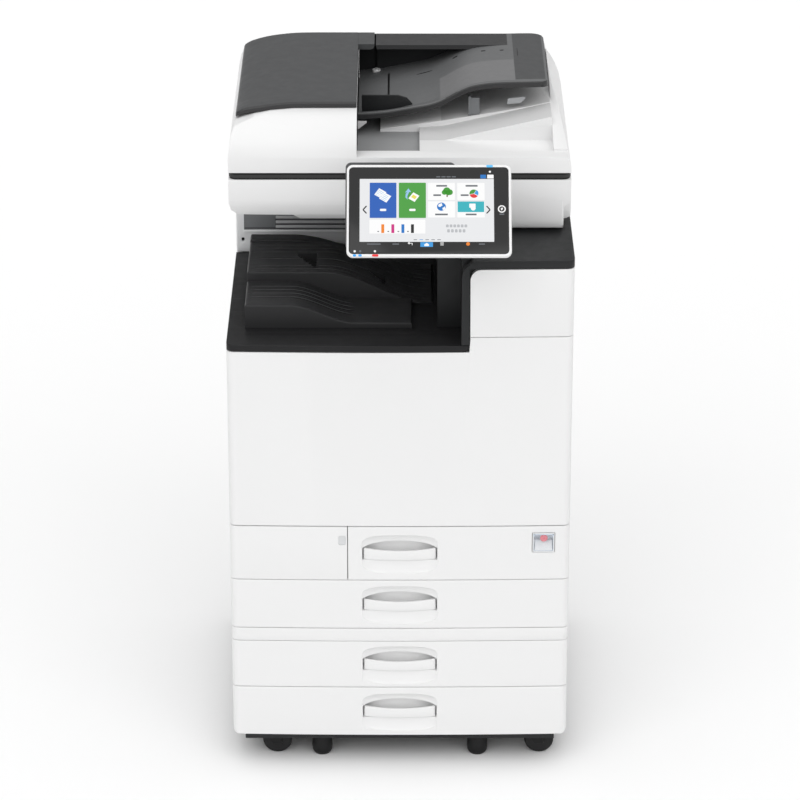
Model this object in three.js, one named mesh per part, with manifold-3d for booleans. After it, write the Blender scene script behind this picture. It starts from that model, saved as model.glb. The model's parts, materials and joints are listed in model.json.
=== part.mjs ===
// Floor-standing A3 multifunction photocopier with a two-drawer paper bank.
// Millimetres, +Z up. The front faces -Y, and +X is the right-hand side seen from the front.
// The origin is on the floor under the middle of the machine.
import * as THREE from 'three';
import Module from 'manifold-3d';
import { mergeVertices } from 'three/addons/utils/BufferGeometryUtils.js';

const wasm = await Module();
wasm.setup();

// ---------------------------------------------------------------- driving dimensions
const HALF_W = 293.5;
const FRONT = -257.5;
const BACK = 342.5;
const TOP = 1160;
const BOW = 5;
const CORNER = 12;
const FRONT_BACK = -233.5;
const CHASSIS_FRONT = -232;
const CHASSIS_BACK = 322;
const CHASSIS_HALF_W = 283;
const SHEET = 2;
const FIT = 0.5;
const SEAM = 1.2;

const BANK_BOTTOM = 55;
const STRIP_BOTTOM = 240;
const STRIP_TOP = 265;
const DRAWER_SPLIT_LOW = 150;
const DRAWER_SPLIT_HIGH = 358;
const DOOR_BOTTOM = 460;
const RIM_BOTTOM = 783.5;
const BAY_FLOOR = 796;
const DOOR_STEP = 811;
const LIP_BOTTOM = 933.5;
const DECK_TOP = 948;
const COLUMN_X = 118;
const BAY_BACK = 190;

const SCANNER_TOP = 1043;
const SCANNER_FRONT = -117.5;
const SCANNER_HALF_W = 291;
const FEEDER_BOTTOM = 1055.5;
const FEEDER_SPLIT_X = -73;
const FEEDER_RIM = 1083;
const EXIT_SHELF = 1073.6;
const SILL_BACK = -82;
const EAVE_FRONT = 273;

const BACK_BEHIND_TRAYS = 200;
const TRAY_DEPTH = 400;
const TRAY_HALF_W = 270;
const TRAY_WALL = 4;

const PANEL_LEAN = 41.5;
const PANEL_REACH = 80 * Math.sin(THREE.MathUtils.degToRad(PANEL_LEAN));
const PANEL = { x: 48.9, y: PANEL_REACH - BACK, z: 1049.7, width: 273.5, height: 160, depth: 20 };
const PANEL_PIVOT = { y: -240.3, z: 1032.9, radius: 6.5 };
const LID_PIVOT = { y: 332, z: 1051, radius: 4 };

const CASTER = { x: 232, frontY: -207.5, backY: 265, radius: 26, width: 22, trail: 15 };
const FOOT = { x: 137.5, y: -213, radius: 16.5, stud: 5 };
const SWITCH = { x0: 228, x1: 268, z0: 410, z1: 448, buttonX: 248.5, buttonZ: 437, buttonR: 6.5 };
const BOTTLE = { radius: 38, z: 725, front: -222, back: 185, firstX: -210, pitch: 100 };

// ---------------------------------------------------------------- materials
const paint = (colour, roughness, metalness = 0) =>
  new THREE.MeshStandardMaterial({ color: colour, roughness, metalness });
const WHITE = paint(0xeeefef, 0.45);
const LIGHT_GREY = paint(0xb4b6b8, 0.5);
const COVER_GREY = paint(0x57595a, 0.5);
const TRAY_GREY = paint(0x4a4b4d, 0.5);
const DARK = paint(0x2b2c2e, 0.55);
const BLACK = paint(0x151617, 0.5);
const RUBBER = paint(0x1a1a1b, 0.85);
const STEEL = paint(0xa8abae, 0.4, 0.9);
const GALVANISED = paint(0x8d9194, 0.5, 0.8);
const GLASS = paint(0x9fb4bd, 0.05);
const SCREEN = paint(0x101114, 0.08);
const CLEAR = paint(0xbfd3e6, 0.1);
const PINK = paint(0xe2666e, 0.35);
const TONER = {
  yellow: paint(0xe3c21c, 0.5),
  magenta: paint(0xb02a76, 0.5),
  cyan: paint(0x1f86c2, 0.5),
  black: paint(0x222325, 0.5),
};

// ---------------------------------------------------------------- solid helpers
function solid(geometry) {
  const bare = geometry.clone();
  bare.deleteAttribute('normal');
  bare.deleteAttribute('uv');
  const merged = mergeVertices(bare, 1e-4);
  return new wasm.Manifold(new wasm.Mesh({
    numProp: 3,
    vertProperties: merged.attributes.position.array,
    triVerts: Uint32Array.from(merged.index.array),
  }));
}

function geometryOf(manifold) {
  const data = manifold.getMesh();
  const geometry = new THREE.BufferGeometry();
  geometry.setAttribute('position', new THREE.BufferAttribute(data.vertProperties, 3));
  geometry.setIndex(new THREE.BufferAttribute(data.triVerts, 1));
  return geometry;
}

function box(x0, x1, y0, y1, z0, z1) {
  const geometry = new THREE.BoxGeometry(x1 - x0, y1 - y0, z1 - z0);
  geometry.translate((x0 + x1) / 2, (y0 + y1) / 2, (z0 + z1) / 2);
  return solid(geometry);
}

// An outline swept along one axis. The outline is given in (y, z) for x, (x, z) for y and (x, y) for z.
function prism(axis, outline, from, to, curveSegments = 5) {
  const shape = Array.isArray(outline)
    ? new THREE.Shape(outline.map(([u, v]) => new THREE.Vector2(u, v)))
    : outline;
  const geometry = new THREE.ExtrudeGeometry(shape, {
    depth: to - from, bevelEnabled: false, curveSegments,
  });
  const turn = new THREE.Matrix4();
  const [X, Y, Z] = [new THREE.Vector3(1, 0, 0), new THREE.Vector3(0, 1, 0), new THREE.Vector3(0, 0, 1)];
  if (axis === 'x') turn.makeBasis(Y, Z, X).setPosition(from, 0, 0);
  if (axis === 'y') turn.makeBasis(X, Z, Y.clone().negate()).setPosition(0, to, 0);
  if (axis === 'z') turn.setPosition(0, 0, from);
  geometry.applyMatrix4(turn);
  return solid(geometry);
}

function roundedRect(u0, v0, u1, v1, radius) {
  const shape = new THREE.Shape();
  shape.absarc(u1 - radius, v0 + radius, radius, -Math.PI / 2, 0);
  shape.absarc(u1 - radius, v1 - radius, radius, 0, Math.PI / 2);
  shape.absarc(u0 + radius, v1 - radius, radius, Math.PI / 2, Math.PI);
  shape.absarc(u0 + radius, v0 + radius, radius, Math.PI, Math.PI * 1.5);
  return shape;
}

function rod(axis, u, v, radius, from, to, sides = 24) {
  const geometry = new THREE.CylinderGeometry(radius, radius, to - from, sides);
  const middle = (from + to) / 2;
  if (axis === 'x') geometry.rotateZ(-Math.PI / 2).translate(middle, u, v);
  if (axis === 'y') geometry.translate(u, middle, v);
  if (axis === 'z') geometry.rotateX(Math.PI / 2).translate(u, v, middle);
  return solid(geometry);
}

const join = (first, ...others) => others.reduce((whole, piece) => whole.add(piece), first);
const cut = (first, ...others) => others.reduce((rest, piece) => rest.subtract(piece), first);

function node(parent, name, shape, material) {
  const mesh = new THREE.Mesh(geometryOf(shape), material);
  mesh.name = name;
  parent.add(mesh);
  return mesh;
}

// ---------------------------------------------------------------- the bowed white front
// Depth of the front surface at x: a shallow bow, rolled back at the two side corners.
function frontY(x) {
  const past = Math.abs(x) - (HALF_W - CORNER);
  const roll = past > 0 ? CORNER - Math.sqrt(CORNER ** 2 - past ** 2) : 0;
  return FRONT + BOW * (x / HALF_W) ** 2 + roll;
}

function frontStations() {
  const stations = [];
  for (let i = -5; i <= 5; i += 1) stations.push((i / 5) * (HALF_W - CORNER));
  for (const angle of [30, 60, 90]) {
    const past = CORNER * Math.sin(THREE.MathUtils.degToRad(angle));
    stations.push(HALF_W - CORNER + past, CORNER - HALF_W - past);
  }
  return stations.sort((a, b) => a - b);
}

function frontPiece(x0, x1, z0, z1, yBack = FRONT_BACK) {
  const inner = frontStations().filter((x) => x > x0 + 1 && x < x1 - 1);
  const outline = [x0, ...inner, x1].map((x) => [x, frontY(x)]);
  outline.push([x1, yBack], [x0, yBack]);
  return prism('z', outline, z0, z1);
}

// ---------------------------------------------------------------- base, casters and feet
function basePlate() {
  const halfW = 272;
  const lipHalfW = CASTER.x - CASTER.trail - CASTER.radius - 7;
  return cut(
    join(
      box(-280, 280, -232.8, 320, 62, 66),
      box(-lipHalfW, lipHalfW, -232.8, -230.3, 48.5, 64),
      box(-lipHalfW, lipHalfW, -251, -231, 48.5, 54.3),
      box(-halfW, halfW, -251, -240.5, 46, 54.3),
      box(-280, -276, -225, 320, 50, 64),
      box(276, 280, -225, 320, 50, 64),
      box(-280, 280, 316, 320, 50, 64),
    ),
    ...footHoles(),
  );
}

function footHoles() {
  return [-1, 1].map((side) => rod('z', side * FOOT.x, FOOT.y, FOOT.stud + 1.2, 40, 80, 16));
}

function levellingFoot() {
  const profile = [[0, 0], [14, 0], [FOOT.radius, 4], [FOOT.radius, 39], [13, 43],
    [FOOT.stud, 43], [FOOT.stud, 65], [0, 65]].map(([r, z]) => new THREE.Vector2(r, z));
  return solid(new THREE.LatheGeometry(profile, 20).rotateX(Math.PI / 2));
}

function casterFork() {
  const cheekIn = CASTER.width / 2 + 1;
  const cheekOut = cheekIn + 3;
  const side = [[-9, 60], [-9, 48], [CASTER.trail - 8, 20], [CASTER.trail + 8, 20], [CASTER.trail + 3, 60]];
  return join(
    box(-9, CASTER.trail + 3, -cheekOut, cheekOut, 54, 60),
    prism('y', side, cheekIn, cheekOut),
    prism('y', side, -cheekOut, -cheekIn),
    rod('z', 0, 0, 8, 59, 61.4, 16),
  );
}

function casterWheel() {
  const w = CASTER.width / 2;
  const r = CASTER.radius;
  const profile = [[0, -w], [r - 3, -w], [r, 3 - w], [r, w - 3], [r - 3, w], [0, w]];
  const geometry = new THREE.LatheGeometry(profile.map(([a, b]) => new THREE.Vector2(a, b)), 28);
  return solid(geometry.translate(CASTER.trail, 0, r));
}

function addCasters(machine) {
  for (const [row, y, turn] of [['front', CASTER.frontY, 0], ['rear', CASTER.backY, Math.PI / 2]]) {
    for (const [side, x] of [['left', -CASTER.x], ['right', CASTER.x]]) {
      const caster = new THREE.Group();
      caster.position.set(x, y, 0);
      caster.rotation.z = turn;
      node(caster, `caster_${row}_${side}_fork`, casterFork(), BLACK);
      node(caster, `caster_${row}_${side}_wheel`, casterWheel(), RUBBER);
      machine.add(caster);
    }
  }
  for (const [side, sign] of [['left', -1], ['right', 1]]) {
    const foot = node(machine, `foot_${side}`, levellingFoot(), BLACK);
    foot.position.set(sign * FOOT.x, FOOT.y, 0);
  }
}

// ---------------------------------------------------------------- cabinets
function bankCabinet() {
  const inner = HALF_W - 16;
  return cut(
    join(
      box(-HALF_W, HALF_W, CHASSIS_FRONT, 330, BANK_BOTTOM, 258.5),
      frontPiece(-HALF_W, HALF_W, STRIP_BOTTOM + SEAM / 2, STRIP_TOP - SEAM / 2),
      frontPiece(-HALF_W, HALF_W, STRIP_BOTTOM + SEAM / 2, 258.5, CHASSIS_FRONT + 1),
    ),
    box(-inner, inner, CHASSIS_FRONT - 2, BACK_BEHIND_TRAYS, 71, 148),
    box(-inner, inner, CHASSIS_FRONT - 2, BACK_BEHIND_TRAYS, 153, STRIP_BOTTOM),
    box(-inner, inner, CHASSIS_FRONT + 3, BACK_BEHIND_TRAYS, 153, 254),
    box(-inner, inner, BACK_BEHIND_TRAYS + 4, 326, 71, 254),
    box(-150, 150, BACK_BEHIND_TRAYS - 2, BACK_BEHIND_TRAYS + 6, 165, 225),
    box(-281.5, 281.5, -240, 321.5, 50, 66.5),
    ...footHoles(),
  );
}

function mainCabinet() {
  const half = CHASSIS_HALF_W;
  const inner = half - SHEET;
  const front = CHASSIS_FRONT - 8;
  const lower = box(-half, half, CHASSIS_FRONT, CHASSIS_BACK, 259.5, RIM_BOTTOM - 0.5);
  const rearColumn = box(-half, half, BAY_BACK + 7, CHASSIS_BACK, 780, LIP_BOTTOM - 0.5);
  const rightColumn = box(122, half, CHASSIS_FRONT, CHASSIS_BACK, 780, LIP_BOTTOM - 0.5);
  return cut(
    join(lower, rearColumn, rightColumn),
    box(-inner, inner, front, BACK_BEHIND_TRAYS, 262, 359),
    box(-84, 226, front, BACK_BEHIND_TRAYS, 361, 458),
    box(232, inner, front + 20, BACK_BEHIND_TRAYS + SHEET + 1, 361, 458),
    box(-inner, -88, front, BACK_BEHIND_TRAYS, 361, 458),
    box(-inner, inner, BACK_BEHIND_TRAYS + SHEET, 330, 262, 458),
    box(-inner, inner, front, BACK_BEHIND_TRAYS, 461, 779),
    box(-inner, inner, BACK_BEHIND_TRAYS + SHEET, 330, 461, 929),
    box(125, inner, front, BAY_BACK + 5, 781, 929),
    box(258, 300, -196, 216, 468, 910),
  );
}

function leftCover() {
  return join(
    box(-HALF_W, -284, CHASSIS_FRONT + 1, BACK, 259.5, RIM_BOTTOM - 0.5),
    box(-HALF_W, -284, BAY_BACK + 7.5, BACK, 780, LIP_BOTTOM - 0.5),
  );
}

const DOOR_RIGHT = { y0: -190, y1: 210, z0: 476, z1: 905 };
const BYPASS = { y0: -140, y1: 160, z0: 560, z1: 800 };

function rightCover() {
  return cut(
    box(284, HALF_W, CHASSIS_FRONT + 1, BACK, 259.5, LIP_BOTTOM - 0.5),
    box(280, 300, DOOR_RIGHT.y0 - 2, DOOR_RIGHT.y1 + 2, DOOR_RIGHT.z0 - 5, DOOR_RIGHT.z1 + 3),
  );
}

function rightDoor() {
  const { y0, y1, z0, z1 } = DOOR_RIGHT;
  return cut(
    join(
      box(278, HALF_W, y0, y1, z0, z1),
      box(264, 279, y0 + 10, y1 - 10, z0 + 8, z1 - 8),
    ),
    box(280.5, 300, BYPASS.y0 - 4, BYPASS.y1 + 4, BYPASS.z0 - 4, BYPASS.z1 + 4),
  );
}

function bypassTray() {
  return box(283, 292.8, BYPASS.y0, BYPASS.y1, BYPASS.z0, BYPASS.z1);
}

const INLET = { x0: -240, x1: -192, z0: 290, z1: 330 };

function rearCover() {
  return cut(
    box(-282.5, 282.5, 331, BACK, 259.5, LIP_BOTTOM - 0.5),
    box(INLET.x0, INLET.x1, 320, 350, INLET.z0, INLET.z1),
  );
}

function powerInlet() {
  const { x0, x1, z0, z1 } = INLET;
  const middle = (x0 + x1) / 2;
  const level = (z0 + z1) / 2;
  const pin = (dx, dz) => box(middle + dx - 1, middle + dx + 1, 326, 338, level + dz - 2.5, level + dz + 2.5);
  return join(
    cut(
      box(x0 + FIT, x1 - FIT, 323, 342, z0 + FIT, z1 - FIT),
      prism('y', roundedRect(x0 + 9, z0 + 7, x1 - 9, z1 - 7, 3), 327, 350, 2),
    ),
    pin(-7, -1), pin(7, -1), pin(0, 3),
  );
}

function columnPanel() {
  const outline = new THREE.Shape();
  outline.moveTo(COLUMN_X + SEAM / 2, DOOR_STEP + SEAM / 2);
  outline.lineTo(HALF_W + 1, DOOR_STEP + SEAM / 2);
  outline.lineTo(HALF_W + 1, LIP_BOTTOM - SEAM / 2);
  outline.absarc(COLUMN_X + 20, LIP_BOTTOM - 20, 19.4, Math.PI / 2, Math.PI);
  return frontPiece(COLUMN_X, HALF_W, 800, 940).intersect(prism('y', outline, -300, -200));
}

// Black deck on the right column, the strip down the bay's right edge, and the exit housing behind it.
function deckCover() {
  const stripX = 104;
  const corner = new THREE.Shape();
  corner.moveTo(stripX, BAY_FLOOR + 1);
  corner.lineTo(HALF_W + 1, BAY_FLOOR + 1);
  corner.lineTo(HALF_W + 1, DECK_TOP);
  corner.absarc(stripX + 32, DECK_TOP - 32, 32, Math.PI / 2, Math.PI);
  const front = join(
    frontPiece(stripX, HALF_W, LIP_BOTTOM + 0.5, DECK_TOP, FRONT_BACK + 2),
    frontPiece(stripX, COLUMN_X - SEAM / 2, BAY_FLOOR + 1, DECK_TOP, FRONT_BACK + 2),
    cut(
      box(COLUMN_X - 2, COLUMN_X + 20, -248, FRONT_BACK, LIP_BOTTOM - 20, DECK_TOP),
      rod('y', COLUMN_X + 20, LIP_BOTTOM - 20, 20, -260, -220, 24),
    ),
  ).intersect(prism('y', corner, -300, -200));
  const exitHousing = cut(
    box(64, 121, -175.5, BAY_BACK - 0.5, BAY_FLOOR + 1, DECK_TOP),
    box(60, 92, -160, 170, 858, 900),
  );
  return join(
    front,
    box(stripX, 121, FRONT_BACK + 0.7, BAY_BACK - 0.5, BAY_FLOOR + 1, DECK_TOP - 2),
    box(stripX + 10, HALF_W, FRONT_BACK - 1, BACK, LIP_BOTTOM + 0.5, DECK_TOP),
    box(-291, 130, BAY_BACK, BACK, LIP_BOTTOM + 0.5, DECK_TOP),
    box(60, 121, BAY_BACK - 2, BAY_BACK + 2, LIP_BOTTOM + 0.5, DECK_TOP),
    exitHousing,
  );
}

function exitDeck() {
  return frontPiece(-HALF_W, COLUMN_X - SEAM / 2, RIM_BOTTOM + 0.5, BAY_FLOOR, BAY_BACK - 0.5);
}

// The output tray: two steps whose tops run level, then fall in an S towards the exit.
function stepOutline(x0, high, flatTo, slopeTo, low, x1) {
  const base = BAY_FLOOR + 0.5;
  const shape = new THREE.Shape();
  shape.moveTo(x0, base);
  shape.lineTo(x1, base);
  shape.lineTo(x1, low);
  shape.lineTo(slopeTo, low);
  const middle = (flatTo + slopeTo) / 2;
  shape.bezierCurveTo(middle, low, middle, high, flatTo, high);
  shape.lineTo(x0 + 6, high);
  shape.lineTo(x0, high - 6);
  return shape;
}

function exitTray() {
  return join(
    prism('y', stepOutline(-264, 838.5, -187, -76, 807, 21), -178.7, -62, 8),
    prism('y', stepOutline(-257, 855, -129, 48, 799, 58), -63, 88, 8),
    prism('y', stepOutline(-257, 855, -129, 48, 799, 58), 87, 118, 8),
  );
}

function innerBackCover() {
  const ribs = [850, 866, 882, 898].map((z) => box(-262, 60, BAY_BACK - 2, BAY_BACK + 3, z, z + 6));
  return join(
    cut(
      box(-292, 103, BAY_BACK, BAY_BACK + 6.5, BAY_FLOOR + 1, LIP_BOTTOM - 0.5),
      box(-266, 62, BAY_BACK - 4, BAY_BACK + 2, 842, 925),
      rod('y', -281, 819, 2.6, BAY_BACK - 4, BAY_BACK + 4, 12),
    ),
    ...ribs.map((rib) => rib.intersect(box(-264, 61, BAY_BACK, BAY_BACK + 6, 840, 930))),
  );
}

// ---------------------------------------------------------------- paper drawers
const HANDLE = { half: 65, down: 37, up: 37, pocketBack: -240 };

function drawerFront(x0, x1, z0, z1) {
  const level = (z0 + z1) / 2;
  const pocket = roundedRect(-HANDLE.half, level - HANDLE.down, HANDLE.half, level + HANDLE.up, 14);
  return join(
    cut(frontPiece(x0, x1, z0, z1), prism('y', pocket, -270, HANDLE.pocketBack, 3)),
    box(-HANDLE.half - 1, HANDLE.half + 1, -253.5, -245.5, level - 13, level + 4),
  );
}

function drawerBox(x0, x1, z0, z1) {
  const front = FRONT_BACK + FIT;
  return cut(
    box(x0, x1, front, front + TRAY_DEPTH, z0, z1),
    box(x0 + TRAY_WALL, x1 - TRAY_WALL, front + TRAY_WALL, front + TRAY_DEPTH - TRAY_WALL, z0 + TRAY_WALL, z1 + 5),
  );
}

function switchWindow() {
  return box(SWITCH.x0, SWITCH.x1, -270, -220, SWITCH.z0, SWITCH.z1);
}

const DRAWERS = [
  { name: 'tray_1', x0: -90, z0: DRAWER_SPLIT_HIGH, z1: DOOR_BOTTOM, boxX: [-80, 222], boxZ: [366, 450] },
  { name: 'tray_2', x0: -HALF_W, z0: STRIP_TOP, z1: DRAWER_SPLIT_HIGH, boxZ: [270, 350] },
  { name: 'tray_3', x0: -HALF_W, z0: DRAWER_SPLIT_LOW, z1: STRIP_BOTTOM, boxZ: [158, 234] },
  { name: 'tray_4', x0: -HALF_W, z0: BANK_BOTTOM, z1: DRAWER_SPLIT_LOW, boxZ: [76, 143] },
];

function addDrawers(machine) {
  for (const drawer of DRAWERS) {
    const [left, right] = drawer.boxX ?? [-TRAY_HALF_W, TRAY_HALF_W];
    const inset = drawer.x0 === -HALF_W ? 0 : SEAM / 2;
    const whole = drawerFront(drawer.x0 + inset, HALF_W, drawer.z0 + SEAM / 2, drawer.z1 - SEAM / 2);
    const face = drawer.name === 'tray_1' ? cut(whole, switchWindow()) : whole;
    node(machine, `${drawer.name}_front`, face, WHITE);
    node(machine, `${drawer.name}_box`, drawerBox(left, right, ...drawer.boxZ), LIGHT_GREY);
  }
}

// ---------------------------------------------------------------- power switch
function switchHousing() {
  const { x0, x1, z0, z1 } = SWITCH;
  return cut(
    box(x0 + 1, x1 - 1, -255, CHASSIS_FRONT - 0.3, z0 + 1, z1 - 1),
    box(x0 + 3.5, x1 - 3.5, -260, -239, z0 + 3.5, z1 - 3.5),
  );
}

function switchFlap() {
  return box(SWITCH.x0 + 2, SWITCH.x1 - 2, -257.3, -255.6, SWITCH.z0 + 2, SWITCH.z1 - 2);
}

function powerButton() {
  return rod('y', SWITCH.buttonX, SWITCH.buttonZ, SWITCH.buttonR, -248, -242, 20);
}

// ---------------------------------------------------------------- front doors and the print engine
function frontDoor() {
  return cut(
    join(
      frontPiece(-HALF_W, HALF_W, DOOR_BOTTOM + 1.5, RIM_BOTTOM - 0.5),
      frontPiece(COLUMN_X + SEAM / 2, HALF_W, RIM_BOTTOM - 2, DOOR_STEP - SEAM / 2),
    ),
    box(-281, 281, -248.5, -225, 474, 775),
    box(-300, 300, -240, -225, 455, 486),
  );
}

function wasteDoor() {
  return frontPiece(-HALF_W, -90 - SEAM / 2, DRAWER_SPLIT_HIGH + SEAM / 2, DOOR_BOTTOM - SEAM / 2);
}

function addEngine(machine) {
  const names = ['yellow', 'magenta', 'cyan', 'black'];
  names.forEach((name, i) => {
    const bottle = rod('y', BOTTLE.firstX + i * BOTTLE.pitch, BOTTLE.z, BOTTLE.radius, BOTTLE.front, BOTTLE.back, 20);
    node(machine, `toner_bottle_${name}`, bottle, TONER[name]);
  });
  const belt = roundedRect(-255, 642, 130, 680, 18);
  node(machine, 'transfer_belt_unit', prism('y', belt, -215, 190, 4), DARK);
  node(machine, 'drum_unit', box(-255, 130, -215, 190, 590, 634), DARK);
  node(machine, 'fuser_unit', prism('y', roundedRect(165, 680, 250, 768, 12), -200, 190, 3), DARK);
  node(machine, 'waste_bottle', box(-272, -98, -224, 80, 368, 450), LIGHT_GREY);
}

// ---------------------------------------------------------------- scanner
function scannerHousing() {
  const side = [[SCANNER_FRONT, SCANNER_TOP], [SCANNER_FRONT, 1007], [-113, 990], [-104, 976], [-85, 962],
    [330, 962], [342, 975], [342, SCANNER_TOP - 5], [339, SCANNER_TOP]];
  const end = [[-SCANNER_HALF_W, SCANNER_TOP], [-SCANNER_HALF_W, 1000], [-287, 986], [-276, 976.5], [-182, 974],
    [-170, 962], [284, 962], [SCANNER_HALF_W, 970], [SCANNER_HALF_W, SCANNER_TOP]];
  const shell = prism('x', side, -SCANNER_HALF_W, SCANNER_HALF_W).intersect(prism('y', end, -200, BACK + 10));
  const cheek = [[-114, 995], [-113, 972], [-109, 958], [-99, DECK_TOP + 1.5], [-80, DECK_TOP + 1.5], [-80, 995]];
  return cut(
    join(
      shell,
      box(-262, 268, 204, 330, DECK_TOP + 0.7, 966),
      box(132, 268, -82, 330, DECK_TOP + 0.7, 966),
      prism('x', cheek, 132, 279),
    ),
    box(-268, 275, -95, 326, 982, SCANNER_TOP - 11),
    box(-226, 238, -88, 262, SCANNER_TOP - 15, SCANNER_TOP - 5),
    box(-232, 244, -94, 268, SCANNER_TOP - 5.7, SCANNER_TOP + 5),
  );
}

// Black frame around the contact glass; the closed feeder rests just above it.
function scannerFrame() {
  const half = SCANNER_HALF_W - 1;
  return cut(
    box(-half, half, SCANNER_FRONT + 1, 318, SCANNER_TOP + 0.3, FEEDER_BOTTOM - 0.5),
    box(-265, 265, -95, 303, SCANNER_TOP - 1, FEEDER_BOTTOM + 1),
  );
}

function addScanner(machine) {
  node(machine, 'scanner_housing', scannerHousing(), WHITE);
  node(machine, 'contact_glass', box(-231, 243, -93, 267, SCANNER_TOP - 5.2, SCANNER_TOP - 0.8), GLASS);
  node(machine, 'scanner_frame', scannerFrame(), BLACK);
  node(machine, 'scan_carriage', box(-255, -215, -84, 300, 986, 1018), BLACK);
  node(machine, 'adf_hinge', join(
    box(-215, 215, 322, 336, SCANNER_TOP + 0.5, SCANNER_TOP + 4),
    ...[-1, 1].flatMap((side) => [
      box(side * 190 - 25, side * 190 + 25, 326, 336, SCANNER_TOP + 3, SCANNER_TOP + 6),
      rod('x', LID_PIVOT.y, LID_PIVOT.z, LID_PIVOT.radius, side * 190 - 22, side * 190 + 22, 16),
    ]),
  ), STEEL);
}

// ---------------------------------------------------------------- document feeder
function feederBase() {
  const side = [[SCANNER_FRONT, FEEDER_BOTTOM], [SCANNER_FRONT, 1081], [-114, 1095], [-107, 1109], [-96, 1121],
    [-78, 1136], [-53, 1149], [-40, 1156], [342, 1156], [342, FEEDER_BOTTOM]];
  const end = [[-SCANNER_HALF_W, FEEDER_BOTTOM], [-SCANNER_HALF_W, 1085], [-288, 1105], [-285, 1119],
    [-281, 1128], [-268, 1133.4], [-248.5, 1139.5], [-219, 1145.5], [-180, 1148.6], [FEEDER_SPLIT_X, 1149], [257, 1152], [262, 1131], [270, 1120],
    [279, 1104], [286, 1086], [290, 1068], [SCANNER_HALF_W, 1060], [SCANNER_HALF_W, FEEDER_BOTTOM]];
  const aboveShelf = [[34, EXIT_SHELF], [262, EXIT_SHELF], [262, 1180], [FEEDER_SPLIT_X, 1180]];
  const aboveFloor = [[34, 1070], [78, EXIT_SHELF], [262, 1116], [262, 1180], [FEEDER_SPLIT_X, 1180]];
  const aboveStep = [[-34, 1067], [72, 1082], [171, 1099], [221, 1107.6], [262, 1117], [262, 1180],
    [FEEDER_SPLIT_X, 1180]];
  const underShelf = [[60, 1040], [256, 1040], [256, 1066], [60, 1066]];
  const underFloor = [[60, 1040], [256, 1040], [256, 1106], [85, 1066], [60, 1066]];
  const behindTray = [[FEEDER_SPLIT_X, 1075], [0, 1094], [52, 1109.5], [72, 1115.5], [107, 1134.5], [132, 1144],
    [173, 1149.5], [262, 1151.5], [262, 1180], [FEEDER_SPLIT_X, 1180]];
  const wallTop = [[-130, FEEDER_RIM], [-97, FEEDER_RIM], [-20, 1098], [150, 1126], [260, 1130.5], [350, 1130.5],
    [350, 1180], [-130, 1180]];
  const shell = prism('x', side, -SCANNER_HALF_W, SCANNER_HALF_W).intersect(prism('y', end, -200, BACK + 10));
  return cut(
    shell,
    prism('y', [[FEEDER_SPLIT_X, 1062], [34, 1062], ...aboveShelf], SILL_BACK, 1),
    prism('y', [[FEEDER_SPLIT_X, 1062], [34, 1062], ...aboveFloor], 0, 79),
    prism('y', [[FEEDER_SPLIT_X, 1062], [-34, 1062], ...aboveStep], 78, 335),
    box(FEEDER_SPLIT_X, 300, -130, SILL_BACK + 0.5, FEEDER_RIM, 1180),
    prism('x', wallTop, 261, 300),
    prism('y', behindTray, 330, 350),
    box(-250, -80, -38, 332, 1088, 1180),
    box(-84, -70, 72, 316, 1092, 1140),
    box(-268, -80, -100, 324, 1040, 1082),
    prism('y', underShelf, -76, 324),
    prism('y', underFloor, 8, 324),
  );
}

function feedCover() {
  const outline = [[-279.5, 1130.6], [-268, 1134.4], [-248.5, 1140.5], [-219, 1146.5], [-180, 1149.6], [-74, 1150],
    [-74, TOP], [-149, TOP], [-190, 1159], [-231, 1154], [-262, 1145.8], [-273, 1140.4], [-280, 1135]];
  return join(prism('y', outline, -51.5, 342), box(-76, -44.9, EAVE_FRONT, 342, 1149.2, TOP));
}

function inputTray() {
  const top = [[-72.3, 1089], [0, 1104], [52, 1117], [69, 1123], [104, 1142], [130, 1152], [173, 1157], [256, 1159]];
  const bottom = [[256, 1152.5], [173, 1150.5], [132, 1145], [107, 1135.5], [72, 1116.5], [52, 1110.5],
    [0, 1097.5], [-72.3, 1082.5]];
  const backWall = [[-40.5, 1092], [-40.5, 1152], [-42.3, 1158], [240, 1158], [173, 1154], [130, 1149], [104, 1139],
    [69, 1120], [0, 1101]];
  const plan = [[-80, 60], [244, 60], [252, 70], [257, 82], [257, 316], [251, 331], [232, 342], [-80, 342]];
  return join(
    prism('y', [...top, ...bottom], 68, 341),
    prism('y', backWall, 326, 341),
    prism('y', [[-41, 1150], [-42.3, 1158], [240, 1158], [200, 1153], [150, 1150]], EAVE_FRONT, 341),
  ).intersect(prism('z', plan, 1000, 1200));
}

function guidePlate(y0, y1) {
  return prism('y', [[-66, 1091.5], [0, 1105], [22, 1110.5], [22, 1112], [12, 1123], [-3, 1127.5], [-66, 1128]], y0, y1);
}

function addFeeder(machine) {
  node(machine, 'adf_base', feederBase(), WHITE);
  node(machine, 'platen_pad', box(-262, 262, -92, 300, SCANNER_TOP + 0.5, FEEDER_BOTTOM - 0.6), WHITE);
  node(machine, 'adf_feed_cover', feedCover(), COVER_GREY);
  node(machine, 'adf_pickup_roller', rod('y', -100, 1112, 14, -37, 331, 20), RUBBER);
  node(machine, 'adf_input_tray', inputTray(), TRAY_GREY);
  node(machine, 'adf_guide_front', guidePlate(82, 86), DARK);
}

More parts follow.
